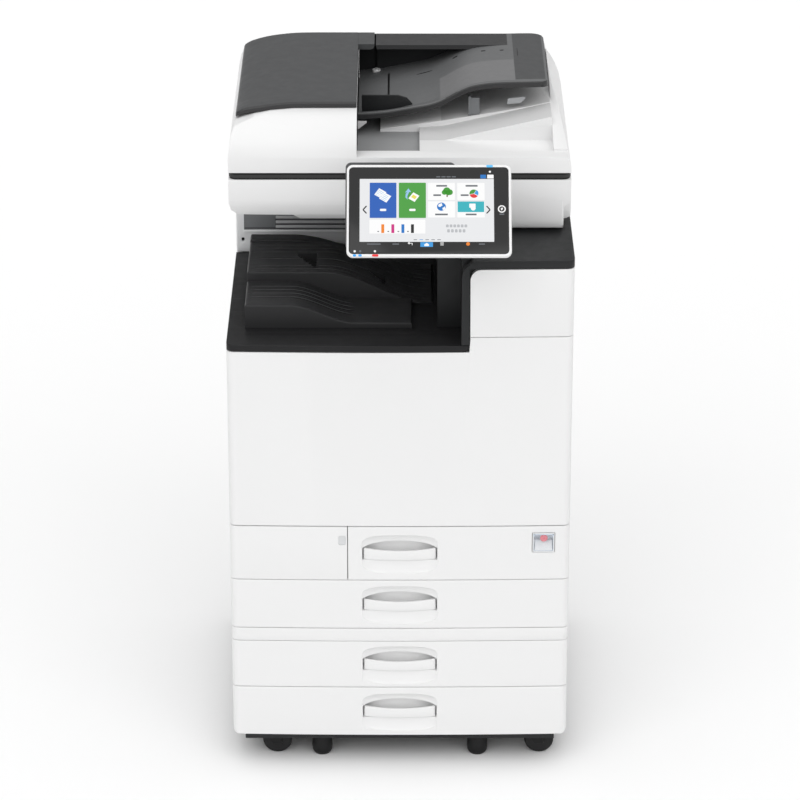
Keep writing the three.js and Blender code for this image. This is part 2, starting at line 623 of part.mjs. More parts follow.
// ---------------------------------------------------------------- operation panel
// Built upright about the middle of its front face, then leaned back as one group.
function panelCase() {
  const halfW = PANEL.width / 2;
  const halfH = PANEL.height / 2;
  const ears = [-1, 1].map((side) => {
    const x = side * 52.5 - PANEL.x;
    return join(box(x - 5.5, x + 5.5, 39, 48, 12, 28), rod('x', 48, 20, 8, x - 5.5, x + 5.5, 16));
  });
  return join(
    cut(
      prism('y', roundedRect(-halfW, -halfH, halfW, halfH, 8), 0, PANEL.depth, 3),
      prism('y', roundedRect(5 - halfW, 5 - halfH, halfW - 5, halfH - 5, 4), -2, 2.4, 3),
    ),
    prism('y', roundedRect(-halfW - 2, -56, 44, halfH + 13, 8), PANEL.depth - 6, PANEL.depth + 20, 3),
    ...ears,
  );
}

function panelGlass() {
  const halfW = PANEL.width / 2 - 5.5;
  const halfH = PANEL.height / 2 - 5.5;
  return prism('y', roundedRect(-halfW, -halfH, halfW, halfH, 3.5), 0.3, 1.9, 3);
}

function panelArm() {
  const { y, z, radius } = PANEL_PIVOT;
  const side = [[SCANNER_FRONT - 0.7, 1030], [-175, z + radius], [y, z + radius], [y, z - radius], [-205, 1018],
    [-160, 990], [SCANNER_FRONT - 0.7, 984]];
  return join(prism('x', side, -45, 45), rod('x', y, z, radius, -45, 45, 20));
}

function addPanel(machine) {
  const panel = new THREE.Group();
  panel.position.set(PANEL.x, PANEL.y, PANEL.z);
  panel.rotation.x = -THREE.MathUtils.degToRad(PANEL_LEAN);
  node(panel, 'panel_case', panelCase(), WHITE);
  node(panel, 'panel_glass', panelGlass(), SCREEN);
  machine.add(panel);
  node(machine, 'panel_arm', panelArm(), LIGHT_GREY);
}

// ---------------------------------------------------------------- the whole machine
const copier = new THREE.Group();
node(copier, 'base_plate', basePlate(), GALVANISED);
addCasters(copier);
node(copier, 'bank_cabinet', bankCabinet(), WHITE);
node(copier, 'main_cabinet', mainCabinet(), GALVANISED);
node(copier, 'left_cover', leftCover(), WHITE);
node(copier, 'right_cover', rightCover(), WHITE);
node(copier, 'rear_cover', rearCover(), WHITE);
node(copier, 'power_inlet', powerInlet(), BLACK);
node(copier, 'right_door', rightDoor(), WHITE);
node(copier, 'bypass_tray', bypassTray(), WHITE);
node(copier, 'column_panel', columnPanel(), WHITE);
node(copier, 'deck_cover', deckCover(), DARK);
node(copier, 'exit_deck', exitDeck(), DARK);
node(copier, 'exit_tray', exitTray(), DARK);
node(copier, 'exit_roller', rod('y', 72, 868, 8, -158, 168, 16), RUBBER);
node(copier, 'inner_back_cover', innerBackCover(), LIGHT_GREY);
node(copier, 'switch_housing', switchHousing(), WHITE);
node(copier, 'switch_flap', switchFlap(), CLEAR);
node(copier, 'power_button', powerButton(), PINK);
node(copier, 'front_door', frontDoor(), WHITE);
node(copier, 'waste_door', wasteDoor(), WHITE);
addDrawers(copier);
addEngine(copier);
addScanner(copier);
addFeeder(copier);
addPanel(copier);

export default copier;
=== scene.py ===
"""A floor-standing A3 multifunction photocopier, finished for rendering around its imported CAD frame.

Sizes inside the functions are millimetres in the frame's own axes (front at -Y, up at +Z); a piece is
scaled to metres when it is made. Places come from the boxes of the CAD nodes.
"""
import json
import math

import bmesh
import bpy
from mathutils import Matrix, Vector

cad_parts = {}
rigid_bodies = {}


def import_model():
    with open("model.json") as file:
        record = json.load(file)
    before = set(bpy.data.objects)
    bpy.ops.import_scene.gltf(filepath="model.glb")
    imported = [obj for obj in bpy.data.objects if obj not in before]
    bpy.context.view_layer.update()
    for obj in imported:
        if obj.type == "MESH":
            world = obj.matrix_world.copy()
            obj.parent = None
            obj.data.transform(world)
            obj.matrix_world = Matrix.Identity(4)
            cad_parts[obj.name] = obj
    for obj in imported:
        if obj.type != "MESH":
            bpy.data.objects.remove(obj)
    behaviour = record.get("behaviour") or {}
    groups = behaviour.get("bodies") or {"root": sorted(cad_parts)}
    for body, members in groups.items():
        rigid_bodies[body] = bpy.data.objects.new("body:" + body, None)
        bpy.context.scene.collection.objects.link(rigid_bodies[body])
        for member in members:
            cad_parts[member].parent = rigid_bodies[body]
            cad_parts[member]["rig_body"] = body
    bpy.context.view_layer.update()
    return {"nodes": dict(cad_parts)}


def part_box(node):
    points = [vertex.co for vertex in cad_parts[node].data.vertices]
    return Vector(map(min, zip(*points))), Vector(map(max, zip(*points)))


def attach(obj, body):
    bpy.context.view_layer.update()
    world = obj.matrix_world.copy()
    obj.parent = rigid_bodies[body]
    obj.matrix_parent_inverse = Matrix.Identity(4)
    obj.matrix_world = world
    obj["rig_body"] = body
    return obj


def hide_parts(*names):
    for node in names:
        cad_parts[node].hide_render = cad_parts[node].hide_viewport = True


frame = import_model()
NODES = frame["nodes"]
MM = 0.001
RIM = 1.0


# ---------------------------------------------------------------- places from the frame
def place(node):
    """Lowest and highest corner of a CAD node, in millimetres."""
    low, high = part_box(node)
    return [c / MM for c in low], [c / MM for c in high]


DOOR_LOW, DOOR_HIGH = place("front_door")
HALF_W = DOOR_HIGH[0]
FRONT = DOOR_LOW[1]
BOW = 5.0
CORNER = 12.0


def front_depth(x):
    """Y of the bowed front at x, rolled back at the two side corners."""
    past = max(0.0, abs(x) - (HALF_W - CORNER))
    roll = CORNER - math.sqrt(max(0.0, CORNER ** 2 - past ** 2))
    return FRONT + BOW * (x / HALF_W) ** 2 + roll


# ---------------------------------------------------------------- materials
def principled(name, colour, roughness, metallic=0.0, **extra):
    material = bpy.data.materials.new(name)
    material.use_nodes = True
    shader = material.node_tree.nodes["Principled BSDF"]
    shader.inputs["Base Color"].default_value = (*colour, 1)
    shader.inputs["Roughness"].default_value = roughness
    shader.inputs["Metallic"].default_value = metallic
    for socket, value in extra.items():
        shader.inputs[socket.replace("_", " ")].default_value = value
    return material


def srgb(*levels):
    """Linear colour from sRGB levels 0-255."""
    shares = [level / 255 for level in levels]
    return tuple(c / 12.92 if c <= 0.04045 else ((c + 0.055) / 1.055) ** 2.4 for c in shares)


def noise(tree, scale, detail=2.0, roughness=0.5, stretch=(1, 1, 1)):
    """A noise texture on the piece's own coordinates."""
    where = tree.nodes.new("ShaderNodeTexCoord")
    mapping = tree.nodes.new("ShaderNodeMapping")
    mapping.inputs["Scale"].default_value = stretch
    texture = tree.nodes.new("ShaderNodeTexNoise")
    texture.inputs["Scale"].default_value = scale
    texture.inputs["Detail"].default_value = detail
    texture.inputs["Roughness"].default_value = roughness
    tree.links.new(where.outputs["Object"], mapping.inputs["Vector"])
    tree.links.new(mapping.outputs["Vector"], texture.inputs["Vector"])
    return texture.outputs["Fac"]


def spread(tree, factor, low, high):
    """Maps a 0-1 factor to a range."""
    node = tree.nodes.new("ShaderNodeMapRange")
    for socket, value in (("From Min", 0.3), ("From Max", 0.7), ("To Min", low), ("To Max", high)):
        node.inputs[socket].default_value = value
    tree.links.new(factor, node.inputs["Value"])
    return node.outputs["Result"]


def tint(tree, factor, first, second):
    node = tree.nodes.new("ShaderNodeMix")
    node.data_type = "RGBA"
    node.inputs["A"].default_value = (*first, 1)
    node.inputs["B"].default_value = (*second, 1)
    tree.links.new(factor, node.inputs["Factor"])
    return node.outputs["Result"]


def bump(tree, height, strength, distance):
    node = tree.nodes.new("ShaderNodeBump")
    node.inputs["Strength"].default_value = strength
    node.inputs["Distance"].default_value = distance
    tree.links.new(height, node.inputs["Height"])
    tree.links.new(node.outputs["Normal"], tree.nodes["Principled BSDF"].inputs["Normal"])


def moulded(name, colour, roughness, grain=2600, grain_height=0.00006, change=0.03, **extra):
    """Injection-moulded plastic: fine spark-eroded grain, faint mottling and uneven gloss."""
    colour = srgb(*colour)
    material = principled(name, colour, roughness, **extra)
    tree = material.node_tree
    shader = tree.nodes["Principled BSDF"]
    cloud = noise(tree, 9, 3)
    lighter = tuple(min(1.0, c * (1 + change)) for c in colour)
    darker = tuple(c * (1 - change) for c in colour)
    tree.links.new(tint(tree, cloud, darker, lighter), shader.inputs["Base Color"])
    gloss = spread(tree, noise(tree, 45, 4, 0.6), roughness - 0.05, roughness + 0.06)
    tree.links.new(gloss, shader.inputs["Roughness"])
    bump(tree, noise(tree, grain, 2, 0.6), 0.35, grain_height)
    return material


def metal(name, colour, roughness, stretch=(1, 1, 1), spangle=60):
    """Sheet metal with faint spangles, drawn out along its grain by stretch."""
    colour = srgb(*colour)
    material = principled(name, colour, roughness, 1.0)
    tree = material.node_tree
    shader = tree.nodes["Principled BSDF"]
    flakes = noise(tree, spangle, 5, 0.7, stretch)
    darker = tuple(c * 0.8 for c in colour)
    tree.links.new(tint(tree, flakes, darker, colour), shader.inputs["Base Color"])
    tree.links.new(spread(tree, flakes, roughness - 0.1, roughness + 0.12), shader.inputs["Roughness"])
    bump(tree, noise(tree, 900, 2, 0.5, stretch), 0.2, 0.00005)
    return material


WHITE = moulded("white_plastic", (231, 231, 231), 0.42, change=0.008)
LIGHT_GREY = moulded("light_grey_plastic", (172, 174, 176), 0.48)
MID_GREY = moulded("mid_grey_plastic", (120, 122, 124), 0.5)
COVER_GREY = moulded("cover_grey_plastic", (74, 75, 76), 0.46, change=0.02, Specular_IOR_Level=0.3)
TRAY_GREY = moulded("tray_grey_plastic", (100, 101, 102), 0.42, Specular_IOR_Level=0.35)
DARK = moulded("dark_plastic", (36, 37, 38), 0.45, Specular_IOR_Level=0.25)
BAY_DARK = moulded("bay_plastic", (45, 45, 46), 0.38, Specular_IOR_Level=0.2)
# Painted shade for lips and edges that face away from the light.
LIP_SHADE_DARK = moulded("lip_painted_shade", (44, 44, 45), 0.4)
PAD_GREY = moulded("pad_grey_plastic", (113, 113, 114), 0.5)
# Painted shade for the inside of the waste door's latch recess.
LATCH_SHADE_GREY = moulded("latch_recess_painted_shade", (214, 215, 216), 0.5)
# Painted shade and painted light for the power switch recess: darker blue-grey walls and a back painted paler
# than white.
SWITCH_WALL_SHADE = moulded("switch_wall_painted_shade", (206, 216, 226), 0.4)
SWITCH_FLOOR_LIGHT = moulded("switch_floor_painted_light", (238, 243, 248), 0.4)
# Painted shade: grey for the shadowed left part of the exit floor.
EXIT_SHADE_GREY = moulded("exit_floor_painted_shade", (150, 151, 152), 0.5)
# Painted shade: a darker white for the raised rear exit floor in the input tray's shadow.
RAMP_SHADE_WHITE = moulded("ramp_painted_shade", (206, 206, 206), 0.5)
BAND_DARK = moulded("band_dark_plastic", (36, 36, 36), 0.5)
DECK_DARK = moulded("deck_plastic", (33, 33, 34), 0.42, Specular_IOR_Level=0.2)
EAVE_DARK = moulded("eave_plastic", (58, 58, 59), 0.5, Specular_IOR_Level=0.3)
SLAT_GREY = moulded("slat_plastic", (188, 189, 190), 0.5)
BAY_PALE = moulded("bay_cover_plastic", (228, 229, 230), 0.5)
SLAT_BACK = moulded("slat_backing_plastic", (84, 85, 87), 0.55)
BLACK = moulded("black_plastic", (18, 18, 19), 0.4, Specular_IOR_Level=0.3)
RUBBER = moulded("rubber", (24, 24, 25), 0.75, grain=900, grain_height=0.00015)
GALVANISED = metal("galvanised_steel", (150, 153, 156), 0.45)
STEEL = metal("hinge_steel", (176, 178, 181), 0.32, stretch=(1, 14, 14), spangle=40)
SCREEN_GLASS = principled("screen_glass", srgb(14, 14, 15), 0.1, Specular_IOR_Level=0.4)
SCANNER_GLASS = principled("scanner_glass", srgb(120, 132, 136), 0.04, Alpha=0.45)
CLEAR = principled("clear_plastic", srgb(226, 236, 246), 0.06, Alpha=0.1)
PINK = moulded("pink_button", (226, 88, 98), 0.3, change=0.05)
TONER_COLOURS = {"yellow": (226, 192, 30), "magenta": (178, 40, 116), "cyan": (30, 132, 192),
                 "black": (34, 35, 37)}
TONERS = {word: moulded("toner_" + word, colour, 0.4) for word, colour in TONER_COLOURS.items()}


# The record's slot of each finish that is a shade of another one.
SHADES = {
    "mid_grey_plastic": "light_grey_plastic", "slat_plastic": "light_grey_plastic",
    "bay_cover_plastic": "light_grey_plastic", "slat_backing_plastic": "light_grey_plastic",
    "bay_plastic": "dark_plastic", "deck_plastic": "dark_plastic", "eave_plastic": "cover_grey_plastic",
    "band_dark_plastic": "black_plastic", "switch_wall_painted_shade": "clear_plastic",
}
FINISHED = set()


def slot_of(material):
    name = material.name.split(".")[0]
    return SHADES.get(name, name)


# ---------------------------------------------------------------- stage
def add_camera():
    data = bpy.data.cameras.new("camera")
    data.lens = 169.18
    data.sensor_width = 36
    data.clip_end = 60
    camera = bpy.data.objects.new("camera", data)
    camera.location = (0.0004, -6.1292, 3.1897)
    camera.rotation_euler = (math.radians(67), 0, 0)
    bpy.context.scene.collection.objects.link(camera)
    bpy.context.scene.camera = camera


def add_sun(name, azimuth, elevation, spread_angle, strength):
    """Broad studio light. Azimuth 0 shines from the front, and positive ones from the right."""
    data = bpy.data.lights.new(name, "SUN")
    data.energy = strength
    data.angle = math.radians(spread_angle)
    light = bpy.data.objects.new(name, data)
    turn, tip = math.radians(azimuth), math.radians(elevation)
    towards = Vector((math.sin(turn) * math.cos(tip), -math.cos(turn) * math.cos(tip), math.sin(tip)))
    light.rotation_euler = towards.to_track_quat("Z", "Y").to_euler()
    light.location = towards * 6
    bpy.context.scene.collection.objects.link(light)


def add_stage():
    mesh = bpy.data.meshes.new("floor")
    reach = 40
    corners = [(-reach, -reach, 0), (reach, -reach, 0), (reach, reach, 0), (-reach, reach, 0)]
    mesh.from_pydata(corners, [], [(0, 1, 2, 3)])
    mesh.materials.append(principled("pale_floor", (0.93, 0.93, 0.93), 0.9, Specular_IOR_Level=0.1))
    floor = bpy.data.objects.new("floor", mesh)
    bpy.context.scene.collection.objects.link(floor)

    world = bpy.data.worlds.new("studio")
    world.use_nodes = True
    world.node_tree.nodes["Background"].inputs["Color"].default_value = (1, 1, 1, 1)
    world.node_tree.nodes["Background"].inputs["Strength"].default_value = 0.42
    bpy.context.scene.world = world
    bpy.context.scene.view_settings.view_transform = "Standard"
    add_sun("overhead", 0, 80, 100, 1.62)
    add_sun("front_left", -28, 33, 50, 0.50)
    add_sun("front_right", 28, 33, 50, 0.44)


# ---------------------------------------------------------------- mesh helpers
def finished(name, bm, body, material, replaces=None, slot=None, bevel=0.0, sharp=35, turn=None):
    """A millimetre bmesh becomes a piece in metres, smooth-shaded, riding on a body."""
    bmesh.ops.remove_doubles(bm, verts=bm.verts, dist=1e-4)
    if turn:
        bmesh.ops.transform(bm, matrix=turn, verts=bm.verts)
    bmesh.ops.recalc_face_normals(bm, faces=bm.faces)
    bmesh.ops.scale(bm, vec=(MM, MM, MM), verts=bm.verts)
    mesh = bpy.data.meshes.new(name)
    bm.to_mesh(mesh)
    bm.free()
    mesh.polygons.foreach_set("use_smooth", [True] * len(mesh.polygons))
    if not bevel:
        mesh.set_sharp_from_angle(angle=math.radians(sharp))
    obj = bpy.data.objects.new(name, mesh)
    bpy.context.scene.collection.objects.link(obj)
    mesh.materials.append(material)
    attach(obj, body)
    if replaces:
        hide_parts(replaces)
        FINISHED.add(replaces)
    slot or slot_of(material)
    if bevel:
        soften(obj, bevel)
    return obj


def boxes(name, body, material, bevel, *spans):
    """A piece made of boxes, each (x0, x1, y0, y1, z0, z1)."""
    bm = bmesh.new()
    for span in spans:
        add_box(bm, *span)
    return finished(name, bm, body, material, bevel=bevel)


def prism(name, body, material, bevel, axis, outline, start, end):
    """A piece made of one outline swept along an axis."""
    bm = bmesh.new()
    add_prism(bm, axis, outline, start, end)
    return finished(name, bm, body, material, bevel=bevel)


def soften(obj, width):
    """Rounds the edges of a piece by width millimetres."""
    modifier = obj.modifiers.new("rounded_edges", "BEVEL")
    modifier.width = width * MM
    modifier.segments = 3
    modifier.limit_method = "ANGLE"
    modifier.angle_limit = math.radians(30)
    modifier.use_clamp_overlap = True
    modifier.harden_normals = True


def baked(obj):
    """Applies a piece's modifiers to its mesh."""
    bpy.context.view_layer.update()
    evaluated = obj.evaluated_get(bpy.context.evaluated_depsgraph_get())
    mesh = bpy.data.meshes.new_from_object(evaluated)
    obj.modifiers.clear()
    obj.data = mesh
    return obj


def carve(obj, bm):
    """Cuts a millimetre bmesh out of a piece."""
    bmesh.ops.recalc_face_normals(bm, faces=bm.faces)
    bmesh.ops.scale(bm, vec=(MM, MM, MM), verts=bm.verts)
    mesh = bpy.data.meshes.new("cutter")
    bm.to_mesh(mesh)
    bm.free()
    cutter = bpy.data.objects.new("cutter", mesh)
    bpy.context.scene.collection.objects.link(cutter)
    modifier = obj.modifiers.new("carving", "BOOLEAN")
    modifier.operation = "DIFFERENCE"
    modifier.solver = "EXACT"
    modifier.object = cutter
    baked(obj)
    bpy.data.objects.remove(cutter)
    obj.data.set_sharp_from_angle(angle=math.radians(35))
    return obj


def add_box(bm, x0, x1, y0, y1, z0, z1):
    corners = [bm.verts.new((x, y, z)) for z in (z0, z1) for y in (y0, y1) for x in (x0, x1)]
    for a, b, c, d in ((0, 1, 3, 2), (4, 6, 7, 5), (0, 4, 5, 1), (2, 3, 7, 6), (0, 2, 6, 4), (1, 5, 7, 3)):
        bm.faces.new([corners[i] for i in (a, b, c, d)])


TURN = {
    "x": lambda u, v, w: (w, u, v),
    "y": lambda u, v, w: (u, w, v),
    "z": lambda u, v, w: (u, v, w),
}


def bridge(bm, one, other):
    """Faces between two closed rings of vertices."""
    for i in range(len(one)):
        j = (i + 1) % len(one)
        bm.faces.new([one[i], one[j], other[j], other[i]])


def border(grid):
    """The outer vertices of a grid, in order round it."""
    return grid[0] + [row[-1] for row in grid[1:-1]] + grid[-1][::-1] + [row[0] for row in grid[-2:0:-1]]


def quilt(bm, grid):
    """Faces over a grid of vertices."""
    for below, above in zip(grid, grid[1:]):
        for i in range(len(below) - 1):
            bm.faces.new([below[i], below[i + 1], above[i + 1], above[i]])


def add_prism(bm, axis, outline, start, end):
    """An outline swept along an axis: (y, z) for x, (x, z) for y and (x, y) for z."""
    turn = TURN[axis]
    rings = [[bm.verts.new(turn(u, v, w)) for u, v in outline] for w in (start, end)]
    bridge(bm, *rings)
    bm.faces.new(rings[0])
    bm.faces.new(rings[1])


def arc(cu, cv, radius, start, end, steps=8):
    """Points on an arc, in degrees, both ends included."""
    angles = [math.radians(start + (end - start) * i / steps) for i in range(steps + 1)]
    return [(cu + radius * math.cos(a), cv + radius * math.sin(a)) for a in angles]


def rounded_rect(u0, v0, u1, v1, r, steps=6):
    return (arc(u1 - r, v0 + r, r, -90, 0, steps) + arc(u1 - r, v1 - r, r, 0, 90, steps)
            + arc(u0 + r, v1 - r, r, 90, 180, steps) + arc(u0 + r, v0 + r, r, 180, 270, steps))


def circle(cu, cv, r, steps=24):
    return arc(cu, cv, r, 0, 360, steps)[:-1]


def repaint(obj, material, test):
    """Gives another material to the faces whose middle (millimetres) and normal pass the test."""
    obj.data.materials.append(material)
    index = len(obj.data.materials) - 1
    for face in obj.data.polygons:
        if test(*(c / MM for c in face.center), *face.normal):
            face.material_index = index


def copy_of(node, material, bevel):
    """The CAD node's own shape with its mesh welded and its edges rounded."""
    bm = bmesh.new()
    bm.from_mesh(NODES[node].data)
    bmesh.ops.scale(bm, vec=(1 / MM,) * 3, verts=bm.verts)
    bmesh.ops.remove_doubles(bm, verts=bm.verts, dist=1e-3)
    bmesh.ops.dissolve_limit(bm, angle_limit=math.radians(1), verts=bm.verts, edges=bm.edges)
    return finished(node + "_skin", bm, NODES[node]["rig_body"], material, node, bevel=bevel)


# ---------------------------------------------------------------- the white front
FRONT_BACK = place("tray_2_front")[1][1]


def front_stations(x0, x1, step=24):
    """Places across the front where its bow is followed, closer together on the rolled corners."""
    flat_end = HALF_W - CORNER
    count = max(1, round((x1 - x0) / step))
    places = [x0 + (x1 - x0) * i / count for i in range(count + 1)]
    rolled = [CORNER * math.sin(math.radians(a)) for a in range(0, 91, 15)]
    places = [x for x in places if abs(x) < flat_end - 2]
    places += [side * (flat_end + r) for side in (-1, 1) for r in rolled]
    return sorted(x for x in places if x0 + 0.01 < x < x1 - 0.01)


def front_panel(name, outline, body, material, replaces=(), back=None, rim=RIM):
    """A flat outline in (x, z) whose front edge is rounded, then bent to the bow of the front."""
    thick = 50
    back = FRONT_BACK if back is None else back
    bm = bmesh.new()
    add_prism(bm, "y", outline, 0, thick)
    front_edges = [e for e in bm.edges if all(abs(v.co.y) < 1e-6 for v in e.verts)]
    bmesh.ops.bevel(bm, geom=front_edges, offset=rim, segments=3, affect="EDGES", profile=0.5)
    for x in front_stations(min(u for u, _ in outline), max(u for u, _ in outline)):
        everything = bm.verts[:] + bm.edges[:] + bm.faces[:]
        bmesh.ops.bisect_plane(bm, geom=everything, plane_co=(x, 0, 0), plane_no=(1, 0, 0))
    for v in bm.verts:
        v.co.y = back if v.co.y > thick - 0.01 else v.co.y + front_depth(v.co.x)
    return finished(name, bm, body, material, replaces)


def add_front_door():
    """The big door: flat across under the output bay, and a step higher under the right column."""
    low, high = DOOR_LOW, DOOR_HIGH
    column = place("column_panel")[0]
    rim_top = place("exit_deck")[0][2] - 1.0
    r = 5
    outline = arc(-HALF_W + r, low[2] + r, r, 180, 270, 5) + arc(HALF_W - r, low[2] + r, r, 270, 360, 5)
    outline += [(HALF_W, high[2]), (column[0], high[2]), (column[0], rim_top), (-HALF_W, rim_top)]
    front_panel("front_door_panel", outline, "front_door", WHITE, "front_door")
    boxes("front_door_inner_ribs", "front_door", WHITE, 0.4,
          *[(-270, 270, FRONT_BACK - 0.2, FRONT_BACK + 1.4, z, z + 2.5) for z in range(520, 760, 40)])


def add_column_panel():
    low, high = place("column_panel")
    r = 19.4
    outline = [(low[0], low[2]), (HALF_W, low[2]), (HALF_W, high[2])]
    outline += arc(low[0] + r, high[2] - r, r, 90, 180, 10)
    front_panel("column_front", outline, "root", WHITE, "column_panel")


def add_waste_door():
    low, high = place("waste_door")
    outline = [(low[0], low[2]), (high[0], low[2]), (high[0], high[2]), (low[0], high[2])]
    panel = front_panel("waste_door_panel", outline, "waste_door", WHITE, "waste_door")
    bm = bmesh.new()
    edge = high[0] - 2.4
    add_prism(bm, "y", rounded_rect(edge - 12.9, 425, edge, 443, 3.4, 5), front_depth(edge) - 4,
              front_depth(edge) + 2.2)
    carve(panel, bm)
    # Painted shade: the faces inside the latch recess are painted grey.
    repaint(panel, LATCH_SHADE_GREY, lambda x, y, z, nx, ny, nz: edge - 13.3 < x < edge + 0.4 and 424 < z < 444
            and front_depth(x) + 0.3 < y < FRONT_BACK - 2)


# ---------------------------------------------------------------- drawer fronts and their handles
PULL = {"half": 66, "slit_in": 64.9, "slit_out": 65.5, "deep": 21.0, "scoop": 11.0, "dish": 7.0, "bar": 62.3}


def bulge(q, power=3.2):
    """1 in the middle, 0 at the ends, with full round corners."""
    return (1 - min(1.0, abs(q)) ** power) ** (1 / power)


def pull_rows(q):
    """Heights of the handle's four curves at q, from -1 to 1 across it, bottom to top."""
    dome = 1 - min(1.0, abs(q)) ** 2
    return [-14 - 24 * bulge(q), -12.5 - 3 * dome, 10 + 10 * dome, 14 + 21 * bulge(q)]


DISH_STEPS = (0, 0.06, 0.14, 0.28, 0.48, 0.7, 0.88, 1)
CAVITY_STEPS = (0.02, 0.3, 0.6, 0.98)


def pull_grid():
    """Rows of the handle patch: (band, share of the band from its lower curve)."""
    rows = [("dish", t) for t in DISH_STEPS]
    rows += [("cavity", t) for t in CAVITY_STEPS]
    return rows + [("scoop", 1 - t) for t in reversed(DISH_STEPS)]


def pull_height(band, t, q):
    low, shelf, brow, top = pull_rows(q)
    if band == "dish":
        return low + (shelf - low) * t
    if band == "cavity":
        return shelf + (brow - shelf) * t
    return brow + (top - brow) * t


def pull_depth(band, t, x):
    """How far the surface lies behind the front at that place of the handle."""
    q = x / PULL["half"]
    side = 1 - min(1.0, abs(q)) ** 6
    if band == "dish":
        return PULL["dish"] * side * math.sqrt(max(0.0, 1 - (1 - t) ** 2))
    if band == "cavity":
        return PULL["deep"] if abs(x) < PULL["slit_in"] + 0.01 else 0.0
    return PULL["scoop"] * side * math.sqrt(max(0.0, 1 - t ** 2))


def drawer_columns(x0, x1):
    half = PULL["half"]
    bands = [half * math.sin(math.radians(a)) for a in range(0, 91, 5)]
    bands += [half * s for s in (0.985, 0.97, 0.95)] + [PULL["slit_in"], PULL["slit_out"], half + 4]
    columns = {round(side * b, 3) for side in (-1, 1) for b in bands}
    columns |= {round(x, 3) for x in front_stations(x0, x1, 30) if abs(x) > half + 8}
    for inset in (0, 0.15, 0.4, RIM):
        columns |= {x0 + inset, x1 - inset}
    return sorted(columns)


def add_drawer_front(number, foot_radius=0.0):
    node = f"tray_{number}_front"
    low, high = place(node)
    x0, x1, z0, z1 = low[0], high[0], low[2], high[2]
    level = (z0 + z1) / 2
    columns = drawer_columns(x0, x1)
    edge_rows = [0, 0.15, 0.4, RIM, 4]
    rows = [("flat", z0 + e) for e in edge_rows] + pull_grid()
    rows += [("flat", z1 - e) for e in reversed(edge_rows)]

    def vertex(row, x):
        band, t = row
        if band == "flat":
            z, deep = t, 0.0
        else:
            z, deep = level + pull_height(band, t, x / PULL["half"]), pull_depth(band, t, x)
        past = max(0.0, abs(x) - (HALF_W - foot_radius))
        if foot_radius and past:
            lift = foot_radius - math.sqrt(max(0.0, foot_radius ** 2 - past ** 2))
            z = z1 - (z1 - z) * (z1 - z0 - lift) / (z1 - z0)
        else:
            lift = 0.0
        drop = round_drop(RIM, min(x - x0, x1 - x, z - z0 - lift, z1 - z))
        return (x, front_depth(x) + deep + drop, z)

    bm = bmesh.new()
    grid = [[bm.verts.new(vertex(row, x)) for x in columns] for row in rows]
    quilt(bm, grid)
    edge = border(grid)
    behind = [bm.verts.new((v.co.x, FRONT_BACK, v.co.z)) for v in edge]
    bridge(bm, edge, behind)
    bm.faces.new(behind)
    face = finished(f"tray_{number}_face", bm, f"tray_{number}", WHITE, node, sharp=50)
    add_pull_bar(number, level)
    return face


def add_pull_bar(number, level):
    """The bar across the handle: its top dips in the middle and its lower edge sags a little."""
    half = PULL["bar"]
    bm = bmesh.new()
    rings = []
    for a in range(-90, 91, 6):
        x = half * math.sin(math.radians(a))
        q = x / half
        end = 1.4 * (1 - math.sqrt(max(0.0, 1 - max(0.0, (abs(x) - half + 1.4) / 1.4) ** 2)))
        top = level + 1.5 + 6.5 * q * q - end
        low = level - 15.7 + 3.2 * q * q + end * 0.4
        y = front_depth(x) + 4 + end
        lean = 1.6
        section = arc(y + lean + 2.6, top - 2.6, 2.6, 180, 60, 5)
        section += [(y + 9.5, top - 4.5), (y + 9.5, low + 1)]
        section += [(y + 2.0, low), (y + 0.6, low + 0.5), (y, low + 1.8)]
        rings.append([bm.verts.new((x, sy, sz)) for sy, sz in section])
    for one, other in zip(rings, rings[1:]):
        bridge(bm, one, other)
    bm.faces.new(rings[0])
    bm.faces.new(rings[-1])
    finished(f"tray_{number}_pull_bar", bm, f"tray_{number}", WHITE, sharp=60)


def flowing(points, steps=6):
    """A smooth line through the given points."""
    line = []
    for i in range(len(points) - 1):
        a, b, c, d = (points[max(i - 1, 0)], points[i], points[i + 1], points[min(i + 2, len(points) - 1)])
        for k in range(steps):
            t = k / steps
            line.append(tuple(
                0.5 * (2 * b[n] + (c[n] - a[n]) * t + (2 * a[n] - 5 * b[n] + 4 * c[n] - d[n]) * t ** 2
                       + (3 * b[n] - a[n] - 3 * c[n] + d[n]) * t ** 3) for n in (0, 1)))
    return line + [points[-1]]


def height_on(line, u):
    """Height of a line of (u, v) points at u."""
    for (u0, v0), (u1, v1) in zip(line, line[1:]):
        if u0 <= u <= u1:
            return v0 + (v1 - v0) * (u - u0) / max(1e-9, u1 - u0)
    return line[0][1] if u < line[0][0] else line[-1][1]


def sheet_solid(bm, columns, rows, top, bottom):
    """A closed solid over a grid of places: top(x, y) above and bottom(x, y) below."""
    upper = [[bm.verts.new((x, y, top(x, y))) for x in columns] for y in rows]
    lower = [[bm.verts.new((x, y, bottom(x, y))) for x in columns] for y in rows]
    quilt(bm, upper)
    quilt(bm, lower)
    bridge(bm, border(upper), border(lower))


def ring_solid(bm, rings):
    """Joins closed rings of equal length one after another and caps both ends."""
    loops = [[bm.verts.new(p) for p in ring] for ring in rings]
    for one, other in zip(loops, loops[1:]):
        bridge(bm, one, other)
    bm.faces.new(loops[0])
    bm.faces.new(loops[-1])


